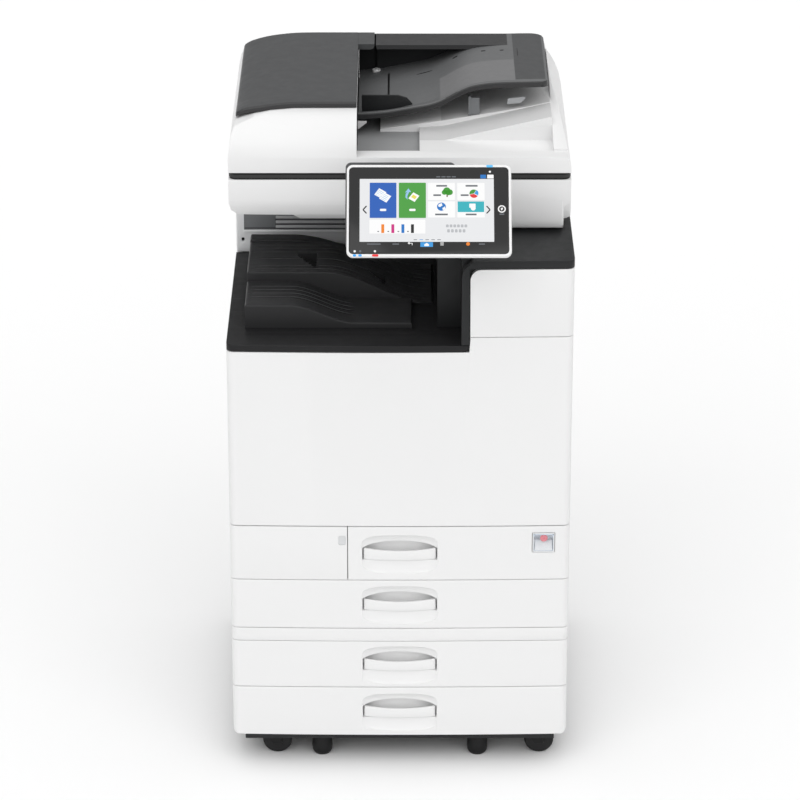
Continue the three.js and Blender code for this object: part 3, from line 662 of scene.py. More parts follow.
def spun(bm, axis, centre, profile, sides=48):
    """A turned solid about an axis through centre; the profile is (radius, place along the axis)."""
    place_on = {"x": lambda r, w, a: (w, r * math.cos(a), r * math.sin(a)),
                "y": lambda r, w, a: (r * math.cos(a), w, r * math.sin(a)),
                "z": lambda r, w, a: (r * math.cos(a), r * math.sin(a), w)}[axis]
    rings = []
    for r, w in profile:
        ring = [place_on(max(r, 0.01), w, math.tau * i / sides) for i in range(sides)]
        rings.append([tuple(p + c for p, c in zip(point, centre)) for point in ring])
    ring_solid(bm, rings)


# ---------------------------------------------------------------- operation panel
PANEL_LEAN = math.radians(41.5)
PANEL_EDGE = (-136.7, -80.0, 135.9, 83.0)
GLASS_EDGE = (-132.9, -75.4, 131.4, 78.4)


def panel_turn():
    """From the upright panel's own axes, about the middle of its glass, to the frame."""
    low, high = place("panel_glass")
    centre = [(a + b) / 2 for a, b in zip(low, high)]
    centre[1] -= 1.1 * math.cos(PANEL_LEAN)
    centre[2] += 1.1 * math.sin(PANEL_LEAN)
    return Matrix.Translation(centre) @ Matrix.Rotation(-PANEL_LEAN, 4, "X")


def panel_ring(edge, inset, y, corner, steps=8):
    u0, v0, u1, v1 = edge
    outline = rounded_rect(u0 + inset, v0 + inset, u1 - inset, v1 - inset, max(1.0, corner - inset), steps)
    return [(u, y, v) for u, v in outline]


def add_panel_housing(turn):
    bm = bmesh.new()
    rings = [panel_ring(GLASS_EDGE, -0.1, y, 7) for y in (2.4, 0.5)]
    rings += [panel_ring(GLASS_EDGE, -inset, y, 7) for inset, y in ((0.4, 0.1), (0.9, 0))]
    for inset, y in ((1.6, 0), (0.8, 0.3), (0.2, 1), (0, 2), (0, 5), (0.8, 8.5), (2.4, 13), (4.6, 17.5),
                     (7, 20)):
        rings.append(panel_ring(PANEL_EDGE, inset, y, 10))
    ring_solid(bm, rings)
    finished("panel_shell", bm, "operation_panel", WHITE, "panel_case", turn=turn)

    bm = bmesh.new()
    x0, x1, z0, z1 = -139, 44, -56, 93.5
    rear = []
    for inset, y in ((6, 14), (1.5, 14.4), (0.4, 15.4), (0, 17), (0, 33), (0.8, 36.5), (3, 39), (6, 40)):
        outline = rounded_rect(x0 + inset, z0 + inset, x1 - inset, z1 - inset, max(1.5, 9 - inset), 8)
        rear.append([(u, y, v) for u, v in outline])
    ring_solid(bm, rear)
    finished("panel_rear_box", bm, "operation_panel", COVER_GREY, turn=turn)

    bm = bmesh.new()
    for k in range(7):
        add_box(bm, -118 + k * 9, -114 + k * 9, 39.6, 40.6, -20, 40)
    finished("panel_rear_vents", bm, "operation_panel", BLACK, bevel=0.4, turn=turn)

    for side, word in ((-1, "left"), (1, "right")):
        bm = bmesh.new()
        x = side * 52.5 - (place("panel_glass")[0][0] + place("panel_glass")[1][0]) / 2
        add_prism(bm, "x", [(39, 12), (48, 12)] + arc(48, 20, 8, -90, 90, 14) + [(39, 28)], x - 5.5, x + 5.5)
        finished(f"panel_hinge_ear_{word}", bm, "operation_panel", MID_GREY, bevel=0.8,
                 turn=turn)


def add_panel_glass(turn):
    bm = bmesh.new()
    ring_solid(bm, [panel_ring(GLASS_EDGE, inset, y, 7) for inset, y in ((0.2, 1.9), (0.2, 0.7), (0.5, 0.42),
                                                                        (1, 0.3))])
    finished("panel_black_glass", bm, "operation_panel", SCREEN_GLASS, "panel_glass", turn=turn)


def lit(name, colour, strength=0.85):
    """A lit or printed patch behind the glass."""
    material = principled(name, tuple(c * 0.12 for c in colour), 0.16, Specular_IOR_Level=0.4)
    shader = material.node_tree.nodes["Principled BSDF"]
    shader.inputs["Emission Color"].default_value = (*colour, 1)
    shader.inputs["Emission Strength"].default_value = strength
    return material


class Patches:
    """Flat shapes of one colour on the panel's face, in millimetres from its middle."""

    def __init__(self, name, colour, layer, strength=0.85):
        self.name, self.colour, self.layer, self.strength = name, colour, layer, strength
        self.bm = bmesh.new()

    def outline(self, points):
        add_prism(self.bm, "y", points, 0.3 - 0.05 * self.layer, 0.45)

    def rect(self, u0, v0, u1, v1, r=0.6):
        self.outline(rounded_rect(u0, v0, u1, v1, min(r, (u1 - u0) / 2.01, (v1 - v0) / 2.01), 3))

    def disc(self, u, v, r):
        self.outline(circle(u, v, r, 28))

    def stroke(self, points, width):
        """A bent line of even width."""
        for (u0, v0), (u1, v1) in zip(points, points[1:]):
            length = math.hypot(u1 - u0, v1 - v0)
            du, dv = (v0 - v1) / length * width / 2, (u1 - u0) / length * width / 2
            self.outline([(u0 + du, v0 + dv), (u0 - du, v0 - dv), (u1 - du, v1 - dv), (u1 + du, v1 + dv)])

    def ring(self, u, v, r, width):
        """An open ring, drawn as short strokes."""
        points = circle(u, v, r, 28)
        self.stroke(points + points[:1], width)

    def done(self, turn):
        bmesh.ops.recalc_face_normals(self.bm, faces=self.bm.faces)
        material = lit("screen_" + self.name, srgb(*self.colour), self.strength)
        finished("screen_" + self.name, self.bm, "operation_panel", material, slot="screen_glass", turn=turn)


def add_screen(turn):
    """Home screen with plain tiles, pictures and bars; it carries no lettering."""
    page = Patches("page", (232, 233, 235), 1)
    page.rect(-115.2, -53.9, 106.8, 57.5, 0.8)
    cards = Patches("cards", (250, 250, 250), 2)
    for u0, v0, u1, v1 in ((-2.1, 20, 42.4, 50.4), (46.2, 20, 91.5, 50.4), (-2.1, -10.9, 42.4, 17.6),
                           (46.2, -10.9, 91.5, 17.6), (-99, -39.3, -6.6, -14.8)):
        cards.rect(u0, v0, u1, v1, 0.8)
    white = Patches("white_marks", (252, 252, 252), 4)
    grey = Patches("grey_marks", (120, 124, 130), 3, 0.6)
    black = Patches("black_marks", (26, 27, 30), 3, 0.3)
    blue = Patches("blue_tile", (26, 92, 184), 3)
    green = Patches("green_tile", (70, 158, 58), 3)
    teal = Patches("teal_tile", (48, 178, 190), 3)
    sky = Patches("sky_blue", (58, 156, 226), 3)
    orange = Patches("orange", (240, 132, 32), 3)
    magenta = Patches("magenta", (206, 40, 130), 3)
    cyan = Patches("cyan", (24, 116, 196), 3)
    red = Patches("red", (226, 48, 52), 4)
    leaf = Patches("leaf_green", (60, 150, 44), 4)
    brown = Patches("brown", (112, 78, 44), 3)
    pale = Patches("pale_blue", (150, 196, 236), 4)
    yellow = Patches("yellow_mark", (232, 222, 96), 5)

    blue.rect(-98.6, -11.8, -54.4, 50.8, 1)
    green.rect(-50.4, -11.8, -5.6, 50.8, 1)
    teal.rect(46.8, -1.4, 90.6, 17.4, 0.4)
    for u, v in ((-80.5, 32.4), (-72.5, 25.4)):
        white.outline([(u - 2.5, v + 8.6), (u + 9.5, v + 1.4), (u + 1.5, v - 10), (u - 10.5, v - 2.8)])
        for k in range(4):
            du, dv = -1.7 * k, -2.4 * k
            pale.stroke([(u - 3.6 + du, v + 5.4 + dv), (u + 5 + du, v + 0.2 + dv)], 1)
        sky.disc(u + 2.2, v + 0.6, 1.9)
    white.outline([(-26.4, 33.6), (-16.4, 27.4), (-24.4, 16.6), (-34.6, 22.8)])
    yellow.outline([(-26.8, 29.8), (-20.4, 25.8), (-23.8, 21.2), (-30.4, 25.2)])
    pale.outline([(-40, 33.4), (-34.6, 40.6), (-30, 34.4), (-33.4, 34), (-36.4, 27), (-36, 20.6), (-39.6, 25),
                  (-39, 31), (-36.6, 33.6)])
    for tile_u in (-76.5, -28):
        white.rect(tile_u - 5.2, 0.4, tile_u + 5.2, 4.4, 1.4)
    for u, v, w in ((20.5, 45.2, 9), (70, 45.2, 10), (13, 28.6, 6.4), (58.5, 28.6, 6.6), (20, -5.6, 10.5),
                    (69, -5.6, 9)):
        grey.rect(u - w, v - 1.5, u + w, v + 1.5, 0.7)
    for u, v, r in ((29, 36.5, 6), (34, 33.8, 5), (25, 33.6, 4.4), (31, 32.4, 4)):
        leaf.disc(u, v, r)
    brown.rect(28.4, 25.4, 30.6, 33, 0.3)
    leaf.outline([(73.5, 31.5)] + arc(73.5, 31.5, 7.2, 55, 190, 12))
    red.outline([(73.9, 30.9)] + arc(73.9, 30.9, 7.2, 190, 330, 12))
    sky.outline([(74.2, 31.8)] + arc(74.2, 31.8, 7.2, -30, 55, 8))
    cyan.disc(20, 8.2, 7.4)
    white.outline([(15.5, 12.5), (20.5, 14.6), (21.6, 10.4), (17.6, 7.4), (14.4, 9)])
    white.outline([(21.6, 5.6), (26, 8.6), (26.4, 4), (22.6, 1.6)])
    white.rect(66, 6.4, 76.4, 13.6, 0.8)
    white.disc(72.5, 5.4, 4)
    for bar, u in ((orange, -79.4), (magenta, -62.8), (cyan, -46.2), (black, -30.4)):
        bar.rect(u, -38.4, u + 4.9, -23, 0.4)
        grey.rect(u - 6.4, -36.6, u - 3.6, -34.8, 0.5)
    dim = Patches("dim_marks", (186, 188, 192), 3)
    for k in range(6):
        dim.rect(27.3 + 6.1 * k, -28.4, 31.9 + 6.1 * k, -23.4, 1.2)
        if k < 5:
            dim.rect(29.3 + 6.4 * k, -37.4, 33.7 + 6.4 * k, -31.8, 1.2)
    for k, dash in enumerate((grey, sky, grey, grey, grey)):
        dash.rect(-26.2 + 9.8 * k, -50.8, -20.4 + 9.8 * k, -49.7, 0.4)
    for side, u in ((-1, -106.6), (1, 97.4)):
        black.stroke([(u - side * 2.8, 9.4), (u + side * 3, 2.8), (u - side * 2.8, -3.8)], 2.1)
    sky.rect(-14.9, -62.8, 5.8, -54.6, 0.4)
    white.outline([(-8.4, -58.6), (-4.6, -55.8), (-0.8, -58.6), (-0.8, -61.4), (-8.4, -61.4)])
    orange.disc(63.6, -57.6, 3.1)
    for u0, u1 in ((-103, -80.4), (-61, -50), (81.4, 91.4)):
        grey.rect(u0, -58.9, u1, -56.9, 0.6)
    white.stroke([(-28.6, -60), (-28.2, -56.6), (-33.4, -56.2)], 1)
    white.outline([(-36, -56.2), (-32.8, -53.8), (-32.8, -58.6)])
    for v in (-55.6, -57.6, -59.6):
        white.rect(17.9, v - 0.4, 23.6, v + 0.4, 0.3)
    for k in range(4):
        grey.rect(11.5 + 8.6 * k, 60.4, 18.4 + 8.6 * k, 62.2, 0.6)
    cyan.rect(84.7, 58.4, 94.1, 65, 0.5)
    white.rect(96, 58.4, 106.6, 65, 0.5)
    black.disc(101.3, 61.7, 2)
    white.ring(119.8, 4.1, 5.6, 2)
    white.outline([(117.8, 4.6), (120.6, 7), (121.8, 4.4), (119.2, 1.4)])
    grey.rect(115.8, -6.2, 123.9, -4, 0.8)
    for u, patch in ((-123.1, white), (-114, grey), (-89.8, white)):
        patch.disc(u, -70.6, 1.9)
    white.disc(100.5, 70.3, 1.8)
    for patches in (page, cards, white, grey, black, blue, green, teal, sky, orange, magenta, cyan, red, leaf,
                    brown, pale, yellow, dim):
        patches.done(turn)


def add_panel_lamps(turn):
    """Small status lamps set in the white rim."""
    for word, u0, u1, v, colour in (("blue_1", -126.2, -120.6, -77.9, (50, 160, 235)),
                                    ("blue_2", -117.2, -111.4, -77.9, (50, 160, 235)),
                                    ("red", -94.6, -84, -77.9, (232, 44, 48)),
                                    ("top", 94.5, 105.8, 80.4, (90, 185, 240))):
        bm = bmesh.new()
        add_prism(bm, "y", rounded_rect(u0, v - 1.9, u1, v + 1.9, 1.8, 5), -0.3, 2)
        finished("panel_lamp_" + word, bm, "operation_panel", lit("lamp_" + word, srgb(*colour), 1.0),
                 slot="screen_glass", bevel=0.25, turn=turn)


def add_panel():
    turn = panel_turn()
    add_panel_housing(turn)
    add_panel_glass(turn)
    add_screen(turn)
    add_panel_lamps(turn)


# ---------------------------------------------------------------- output bay
def round_drop(radius, inside):
    """Depth of a quarter round of this radius at a distance inside the edge."""
    return radius - math.sqrt(max(0.0, radius ** 2 - max(0.0, radius - inside) ** 2))


def eased(x, start, end, high, low):
    """Level at high up to start, level at low from end, and an S between them."""
    t = min(1.0, max(0.0, (x - start) / (end - start)))
    return high + (low - high) * (3 * t * t - 2 * t ** 3)


def spaced(start, end, step, extra=()):
    count = max(1, round((end - start) / step))
    places = [start + (end - start) * i / count for i in range(count + 1)]
    near = [e for e in extra if start < e < end]
    return sorted({round(p, 3) for p in places + near})


def bay_step(name, x_range, y_range, level, fall, low, grooves, notches=(), rear_round=0.0, replaces=()):
    """One step of the output tray, with fine grooves along the paper's way and a finger notch."""
    x0, x1 = x_range
    y0, y1 = y_range
    base = place("exit_tray")[0][2]
    edge = 3.2

    def top(x, y):
        z = eased(x, fall[0], fall[1], level, low)
        for near in (x - x0, x1 - x, y - y0, (y1 - y) if rear_round else edge):
            z -= round_drop(edge, max(0.0, near))
        for g in grooves:
            if abs(y - g) < 0.95 and x0 + 8 < x < fall[1] - 4:
                z -= 1.5 * (1 - abs(y - g) / 0.95)
        for nx0, nx1, ny0, ny1, deep in notches:
            across = (x - nx0) / (nx1 - nx0)
            if 0 < across <= 1 and ny1 - (ny1 - ny0) * across < y < ny1:
                z -= deep * across ** 0.6
        return max(z, base + 1.2)

    edges = [x0 + e for e in (0.3, 1, 2, 3.2)] + [x1 - e for e in (0.3, 1, 2, 3.2)]
    rows_near = [y0 + e for e in (0.3, 1, 2, 3.2)] + [y1 - e for e in (0.3, 1, 2, 3.2)]
    for g in grooves:
        rows_near += [g - 0.95, g, g + 0.95]
    columns_near = []
    for nx0, nx1, ny0, ny1, _ in notches:
        columns_near += [nx0, nx1, nx1 + 0.4]
        rows_near += [ny0, ny1, ny1 - 0.5]
    columns = spaced(x0, x1, 5, edges + columns_near)
    rows = spaced(y0, y1, 2.5 if notches else 7, rows_near)
    bm = bmesh.new()
    sheet_solid(bm, columns, rows, top, lambda x, y: base)
    finished(name, bm, "root", BAY_DARK, replaces, sharp=40)


def add_exit_tray():
    bay_step("exit_tray_front_step", (-264, 21), (-178.7, -63.2), 838.5, (-187, -76), 807,
             (-88, -104, -120, -137), replaces="exit_tray")
    bay_step("exit_tray_main_step", (-264, 58), (-63, 87), 855, (-129, 48), 799, (69, 52, 35, 2, -31, -47),
             notches=((-180, -145, -40, 28, 16), (-56, -25, -34, 8, 12)))
    bay_step("exit_tray_rear_step", (-264, 58), (87.3, 118), 858, (-190, 40), 801, (112,), rear_round=1.0)


def add_back_cover():
    """Back of the bay: a grey cover with slanted slats, a post and a small hole."""
    face = place("inner_back_cover")[0][1]
    copy_of("inner_back_cover", BAY_PALE, 0.8)
    boxes("bay_slat_backing", "root", SLAT_BACK, 0, (-279, 62, face - 0.5, face + 1.2, 836, 924))
    bm = bmesh.new()
    for k in range(7):
        z = 842.5 + 9 * k
        slat = [(face - 0.2, z), (face - 3.2, z + 0.6), (face - 4.2, z + 2.8), (face - 0.2, z + 5.6)]
        add_prism(bm, "x", slat, -222, 61)
    sill = [(face - 0.2, 834), (face - 3, 834.8), (face - 3.4, 837.4), (face - 0.2, 839.5)]
    add_prism(bm, "x", sill, -279, 61)
    add_prism(bm, "x", [(face - 0.2, 842), (face - 3, 860), (face - 1, 922), (face - 0.2, 922)], -278, -223)
    slats = finished("bay_slats", bm, "root", SLAT_GREY, bevel=0.6)
    repaint(slats, BAY_PALE, lambda x, y, z, nx, ny, nz: z < 841)
    repaint(slats, MID_GREY, lambda x, y, z, nx, ny, nz: x < -222.5 and z > 841)
    bm = bmesh.new()
    spun(bm, "y", (-281, 0, 821.5), [(2.9, face + 0.6), (2.9, face - 0.25), (0, face - 0.25)], 24)
    finished("bay_post_hole", bm, "root", BLACK)


def add_exit_deck():
    """Floor of the bay and its rim, with the seams of the strip at its left."""
    low, high = place("exit_deck")
    outline = [(-HALF_W, low[2])] + arc(high[0] - 9, low[2] + 9, 9, 270, 360, 8)
    outline += [(high[0], high[2]), (-HALF_W, high[2])]
    front_panel("exit_deck_floor", outline, "root", DECK_DARK, "exit_deck", back=high[1], rim=1.8)
    top = high[2]
    short = [(-HALF_W + 1, -268, y - 0.6, y + 0.6, top - 0.4, top + 0.12) for y in (23, -39, -101, -163)]
    long = [(-262, 96, y - 0.7, y + 0.7, top - 0.4, top + 0.25) for y in (-186, -205)]
    boxes("exit_deck_seams", "root", BLACK, 0, *short, *long)


# ---------------------------------------------------------------- document feeder
def add_feeder_base():
    skin = copy_of("adf_base", WHITE, 2.0)
    split = place("adf_guide_front")[0][0] - 7
    repaint(skin, DARK, lambda x, y, z, nx, ny, nz: split - 13 < x < split + 1.5 and -78 < y < 334
            and z > 1064)
    # Painted shade: the low exit floor left of x 36 is painted grey for the shadow of the feeder's left
    # block.
    repaint(skin, EXIT_SHADE_GREY, lambda x, y, z, nx, ny, nz: split < x < 36 and -80 < y < 334 and 1060 < z < 1069)
    # Painted shade: the raised exit floor behind y 0 is painted a darker white for the input tray's shadow.
    repaint(skin, RAMP_SHADE_WHITE, lambda x, y, z, nx, ny, nz: 34 < x < 262 and 1 < y < 334 and 1068 < z < 1119
            and nz > 0.5)

    boxes("adf_mouth_wall", "adf_lid", DARK, 0.6, (split + 0.2, -44, 335.5, 341, 1080, 1149),
          (-50, -36, 341.2, 342.4, 1080, 1157.4))
    tab = [(split, 1073), (-58, 1084.6), (-57.4, 1086.4), (split, 1087)]
    prism("adf_mouth_tab", "adf_lid", WHITE, 0.5, "y", tab, 58, 66)
    boxes("adf_tray_bracket", "adf_lid", MID_GREY, 0.8, (121.5, 138.5, 79, 84, 1093, 1124),
          (119, 123.5, 77.6, 86, 1092, 1127))
    rest = [(186, 1112), (210, 1114), (219, 1124), (216, 1126), (187, 1122.6)]
    prism("adf_tray_rest", "adf_lid", LIGHT_GREY, 1.6, "y", rest, 78, 84)


def cover_top():
    return flowing([(-280, 1134.2), (-276, 1138.8), (-262.5, 1145.9), (-231.4, 1154), (-190, 1159),
                    (-149, 1160), (-120, 1160)], 8)


def add_feed_cover():
    """Curved grey cover with a thick rolled front edge and rounded front corners."""
    low, high = place("adf_feed_cover")
    split = -73.6
    crown = cover_top() + [(split, high[2])]
    under = [(-280, 1131), (-268, 1134.6), (-248.5, 1140.7), (-219, 1146.7), (-180, 1149.8), (split, 1150.2)]
    front = low[1]

    def rolled(x, y):
        """The front left corner stands a little higher than the rear one."""
        return 3.4 * min(1.0, max(0.0, (-236 - x) / 30)) * min(1.0, max(0.0, 1 - (y - front) / 60))

    def top(x, y):
        z = min(high[2], height_on(crown, x) + rolled(x, y))
        return z - round_drop(5, y - front) - round_drop(3, x + 280) - round_drop(1.6, split - x)

    columns = spaced(-280, split, 6, [-279.6, -279, -278.2, -277, split - 0.2, split - 0.7, split - 1.6])
    rows = spaced(front, high[1], 24, [front + e for e in (0.3, 0.9, 1.8, 3, 5)])
    bm = bmesh.new()
    sheet_solid(bm, columns, rows, top, lambda x, y: min(height_on(under, x) + rolled(x, y), top(x, y) - 0.5))
    corner = 9
    for vert in bm.verts:
        dx = corner - (vert.co.x + 280)
        dy = corner - (vert.co.y - front)
        if dx > 0 and dy > 0 and math.hypot(dx, dy) > corner:
            scale = corner / math.hypot(dx, dy)
            vert.co.x = -280 + corner - dx * scale
            vert.co.y = front + corner - dy * scale
    skin = finished("adf_feed_cover_skin", bm, "feed_cover", COVER_GREY, "adf_feed_cover", sharp=50)
    # Painted shade: the front-facing faces of the rolled front edge are painted darker than the cover.
    repaint(skin, LIP_SHADE_DARK, lambda x, y, z, nx, ny, nz: y < front + 11 and ny < -0.35)

    outline = [(split - 0.5, 1149.4), (-53, 1149.4)] + arc(-52.9, 1157.4, 8, -90, -10, 8)
    outline += [(-45, 1160), (split - 0.5, 1160)]
    prism("adf_feed_cover_arm", "feed_cover", COVER_GREY, 0.5, "y", outline, 273, 342)


TRAY_LINE = [(-72.3, 1090.5), (-40, 1096), (0, 1104), (30, 1109.8), (52, 1115.5), (72, 1124), (90, 1134),
             (104, 1142), (121, 1149.5), (140, 1154), (173, 1157.4), (210, 1158.6), (256.5, 1159)]
LIP_LINE = [(-72.3, 1100.4), (-28, 1103.6), (0, 1108), (30, 1113.4), (52, 1117.6), (72, 1124.8), (90, 1134.6),
            (104, 1142.4), (121, 1150), (146, 1155.4), (180, 1158), (256.5, 1159.6)]


def add_input_tray():
    """Curved input tray: a raised lip at the front with painted shade on its faces that do not face up, a
    paler pad, a rear wall under an eave.
    """
    surface, lip = flowing(TRAY_LINE, 5), flowing(LIP_LINE, 5)
    front, back, left, right = 63.0, 340.5, -72.3, 256.5

    def top(x, y):
        t = min(1.0, max(0.0, (79 - y) / 6))
        z = height_on(surface, x) * (1 - t) + height_on(lip, x) * t
        return min(1159.8, z) - round_drop(3.5, y - front)

    def bottom(x, y):
        if y < 76:
            return height_on(lip, x) - 10.6
        return height_on(surface, x) - 6.4

    columns = spaced(left, right, 4.2, [70.5, 71, 200, 200.5])
    near = [front + e for e in (0.2, 0.7, 1.5, 2.4, 3.5)]
    rows = spaced(front, back, 14, near + [73, 74.5, 76, 77.5, 79, 189, 189.5])
    bm = bmesh.new()
    sheet_solid(bm, columns, rows, top, bottom)
    for vert in bm.verts:
        for corner, cy in ((26, back), (12, front)):
            dx = vert.co.x - (right - corner)
            dy = (vert.co.y - (cy - corner)) if cy == back else ((cy + corner) - vert.co.y)
            if dx > 0 and dy > 0 and math.hypot(dx, dy) > corner:
                scale = corner / math.hypot(dx, dy)
                vert.co.x = right - corner + dx * scale
                vert.co.y = (cy - corner + dy * scale) if cy == back else (cy + corner - dy * scale)
    skin = finished("adf_input_tray_skin", bm, "input_tray", TRAY_GREY, "adf_input_tray", sharp=60)
    # Painted shade: faces of the front lip and of the right end that do not face up are painted darker.
    repaint(skin, LIP_SHADE_DARK, lambda x, y, z, nx, ny, nz: (y < 76 or x > 251) and nz < 0.8)
    repaint(skin, PAD_GREY, lambda x, y, z, nx, ny, nz: nz > 0.5 and 70.6 < x < 200.2 and 72 < y < 189.2)
    repaint(skin, COVER_GREY, lambda x, y, z, nx, ny, nz: nz > 0.5 and 200.3 < x < 251 and y > 76)

    wall = [(-40.5, 1093), (-40.5, 1152), (-42.3, 1157.6), (240, 1157.6), (173, 1154), (130, 1149),
            (104, 1139), (69, 1120), (0, 1101)]
    prism("adf_tray_wall", "input_tray", DARK, 0.4, "y", wall, 327, 340)
    eave = [(-41, 1150), (-42.6, 1158.2), (215, 1158.2), (185, 1156), (150, 1150)]
    prism("adf_tray_eave", "input_tray", EAVE_DARK, 0.4, "y", eave, 273, 340.8)

    bm = bmesh.new()
    for x, y, half, deep in ((98, 262, 4.5, 2.6), (147.8, 248.4, 4, 2.2), (180.5, 244, 3.6, 2.2),
                             (-19.6, 225, 1.7, 62), (207.8, 231, 0.6, 20), (44, 252, 14, 0.6)):
        outline = rounded_rect(x - half, y - deep, x + half, y + deep, min(half, deep) * 0.95, 4)
        loops = []
        for lift in (-1.2, 0.35):
            loops.append([(u, v, height_on(surface, u) + lift) for u, v in outline])
        ring_solid(bm, loops)
    finished("adf_tray_slots", bm, "input_tray", BLACK)
    bm = bmesh.new()
    spun(bm, "z", (-41.8, 317, 0), [(7.6, 1094), (7.6, 1098.4), (6.6, 1099.4), (3, 1099.9), (0, 1100)], 32)
    finished("adf_tray_button", bm, "input_tray", WHITE)


def add_scanner_frame():
    """Black band between scanner and feeder: a dark grey step between two recessed black lines, painted
    shadow for the shaded gaps above and below it.
    """
    low, high = place("scanner_frame")
    inner = rounded_rect(-265, -95, 265, 303, 2, 8)

    def layers(name, material, replaces, spans):
        bm = bmesh.new()
        for z0, z1, inset in spans:
            outer = rounded_rect(low[0] + inset, low[1] + inset, high[0] - inset, high[1] - inset, 14, 8)
            loops = [[bm.verts.new((x, y, z)) for x, y in ring] for z in (z0, z1) for ring in (outer, inner)]
            for one, other in ((0, 2), (1, 3), (0, 1), (2, 3)):
                bridge(bm, loops[one], loops[other])
        finished(name, bm, "root", material, replaces)

    # Painted shadow: the two recessed black layers stand for the shaded gaps at the step's top and bottom.
    layers("scanner_frame_lower_shadow_line", BLACK, "scanner_frame", ((low[2], 1046.2, 0.6),))
    layers("scanner_frame_step", BAND_DARK, (), ((1046.3, 1052.2, -0.4),))
    layers("scanner_frame_upper_shadow_line", BLACK, (), ((1052.3, high[2], 0.8),))


def add_scanner():
    copy_of("scanner_housing", WHITE, 2.5)
    cheek = [(-110, 1016), (-117.3, 1007), (-117.2, 970), (-115.8, 959.5), (-113.4, 955.4), (-84, 954.6),
             (-84, 974), (-97, 979), (-97, 1016)]
    prism("scanner_cheek", "root", WHITE, 1.0, "x", cheek, 131, 277)
    marks = [(-225 + 57 * k, -224 + 57 * k, -93, -90, 1042.6, 1043.1) for k in range(9)]
    boxes("scanner_size_scale", "root", MID_GREY, 0, (-226, 238, -93.6, -89.5, 1041.9, 1042.8), *marks)


def add_base_details():
    """Locking studs above the feet and a black collar round each foot."""
    for side, word in ((-1, "left"), (1, "right")):
        bm = bmesh.new()
        spun(bm, "z", (side * 137.5, -227, 0), [(3.4, 46), (3.4, 51.5), (2.4, 52.8), (0, 53)], 20)
        finished(f"foot_{word}_stud", bm, f"foot_{word}", STEEL)
        bm = bmesh.new()
        collar = [(14, 3), (17.4, 6), (18, 14), (17.6, 24), (16.6, 26), (16.6, 30)]
        spun(bm, "z", (side * 137.5, -213, 0), collar, 40)
        finished(f"foot_{word}_collar", bm, f"foot_{word}", BLACK)


def slots(name, body, axis, at, across, up, count=1, material=BLACK, thick=0.35, tall=2.4,
          slot="black_plastic"):
    """A row of ventilation slots on an outer face; axis is the face's normal."""
    bm = bmesh.new()
    (a0, a1), (z0, z1) = across, up
    for k in range(count):
        z = z0 + (z1 - z0) * k / max(1, count - 1)
        if axis == "x":
            add_box(bm, at - thick, at + thick, a0, a1, z, z + tall)
        else:
            add_box(bm, a0, a1, at - thick, at + thick, z, z + tall)
    finished(name, bm, body, material, slot=slot, bevel=0.4)


def add_side_details():
    """Vents, grips, ports and screws on the covers at the sides and back."""
    left, right = place("left_cover")[0][0], place("right_cover")[1][0]
    back = place("rear_cover")[1][1]
    door, bypass = place("right_door")[1], place("bypass_tray")[1]
    slots("left_cover_vents", "root", "x", left, (40, 190), (520, 640), 13)
    slots("left_cover_low_vents", "root", "x", left, (120, 250), (300, 372), 8)
    slots("left_cover_grip", "root", "x", left, (-150, -40), (352, 352), material=DARK, tall=22)
    slots("right_cover_grip", "root", "x", right, (-150, -40), (352, 352), material=DARK, tall=22)
    slots("right_cover_vents", "root", "x", right, (228, 300), (560, 760), 17)
    slots("right_door_latch", "right_door", "x", door[0], (-60, 60), (door[2] - 34, 0), material=DARK,
          tall=18)
    slots("bypass_tray_grip", "bypass_tray", "x", bypass[0], (-50, 70), (bypass[2] - 26, 0), material=DARK,
          tall=14)
    slots("rear_cover_vents", "root", "y", back, (-230, -60), (700, 860), 17)
    slots("rear_cover_fan_vents", "root", "y", back, (80, 220), (560, 680), 13)
    slots("rear_cover_low_vents", "root", "y", back, (60, 230), (290, 350), 7)
    slots("rear_port_panel", "root", "y", back, (-250, -214), (500, 500), material=DARK, tall=90)
    slots("rear_ports", "root", "y", back + 0.2, (-242, -222), (508, 574), 4, GALVANISED, 0.5, 9,
          "galvanised_steel")
    bm = bmesh.new()
    for x, z in [(x, z) for z in (880, 470, 255) for x in (-275, 275)] + [(0, 880), (0, 255)]:
        spun(bm, "y", (x, 0, z), [(4, back - 0.5), (4, back + 0.5), (3, back + 0.8), (0, back + 0.8)], 20)
    finished("rear_cover_screws", bm, "root", STEEL)
    slots("feeder_rear_vents", "adf_lid", "y", back, (90, 200), (1086, 1118), 5)


def add_toner_details():
    """Caps, collars and grip ribs on the four toner bottles."""
    for colour in TONERS:
        node = next(n for n in NODES if n.startswith("toner_bottle_") and n.endswith(colour))
        (x0, y0, z0), (x1, y1, z1) = place(node)
        x, z, r = (x0 + x1) / 2, (z0 + z1) / 2, min(x1 - x0, z1 - z0) / 2
        profile = [(r * 0.5, y0 + 0.2), (r * 0.5, y0 + 9), (r * 0.72, y0 + 10), (r * 0.76, y0 + 20),
                   (r * 0.95, y0 + 24), (r, y0 + 30)]
        for k in range(10):
            y = y0 + 40 + k * (y1 - y0 - 60) / 10
            profile += [(r, y), (r - 2.2, y + 3), (r - 2.2, y + 7), (r, y + 10)]
        profile += [(r, y1 - 12), (r - 3, y1 - 1), (r - 6, y1)]
        bm = bmesh.new()
        spun(bm, "y", (x, 0, z), profile, 48)
        finished(f"toner_{colour}_body", bm, NODES[node]["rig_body"], TONERS[colour], node, sharp=30)
        bm = bmesh.new()
        for a in range(12):
            angle = math.tau * a / 12
            cx, cz = x + r * 0.42 * math.cos(angle), z + r * 0.42 * math.sin(angle)
            add_box(bm, cx - 1.5, cx + 1.5, y0 + 0.4, y0 + 6, cz - 1.5, cz + 1.5)
        finished(f"toner_{colour}_key", bm, NODES[node]["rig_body"], DARK)


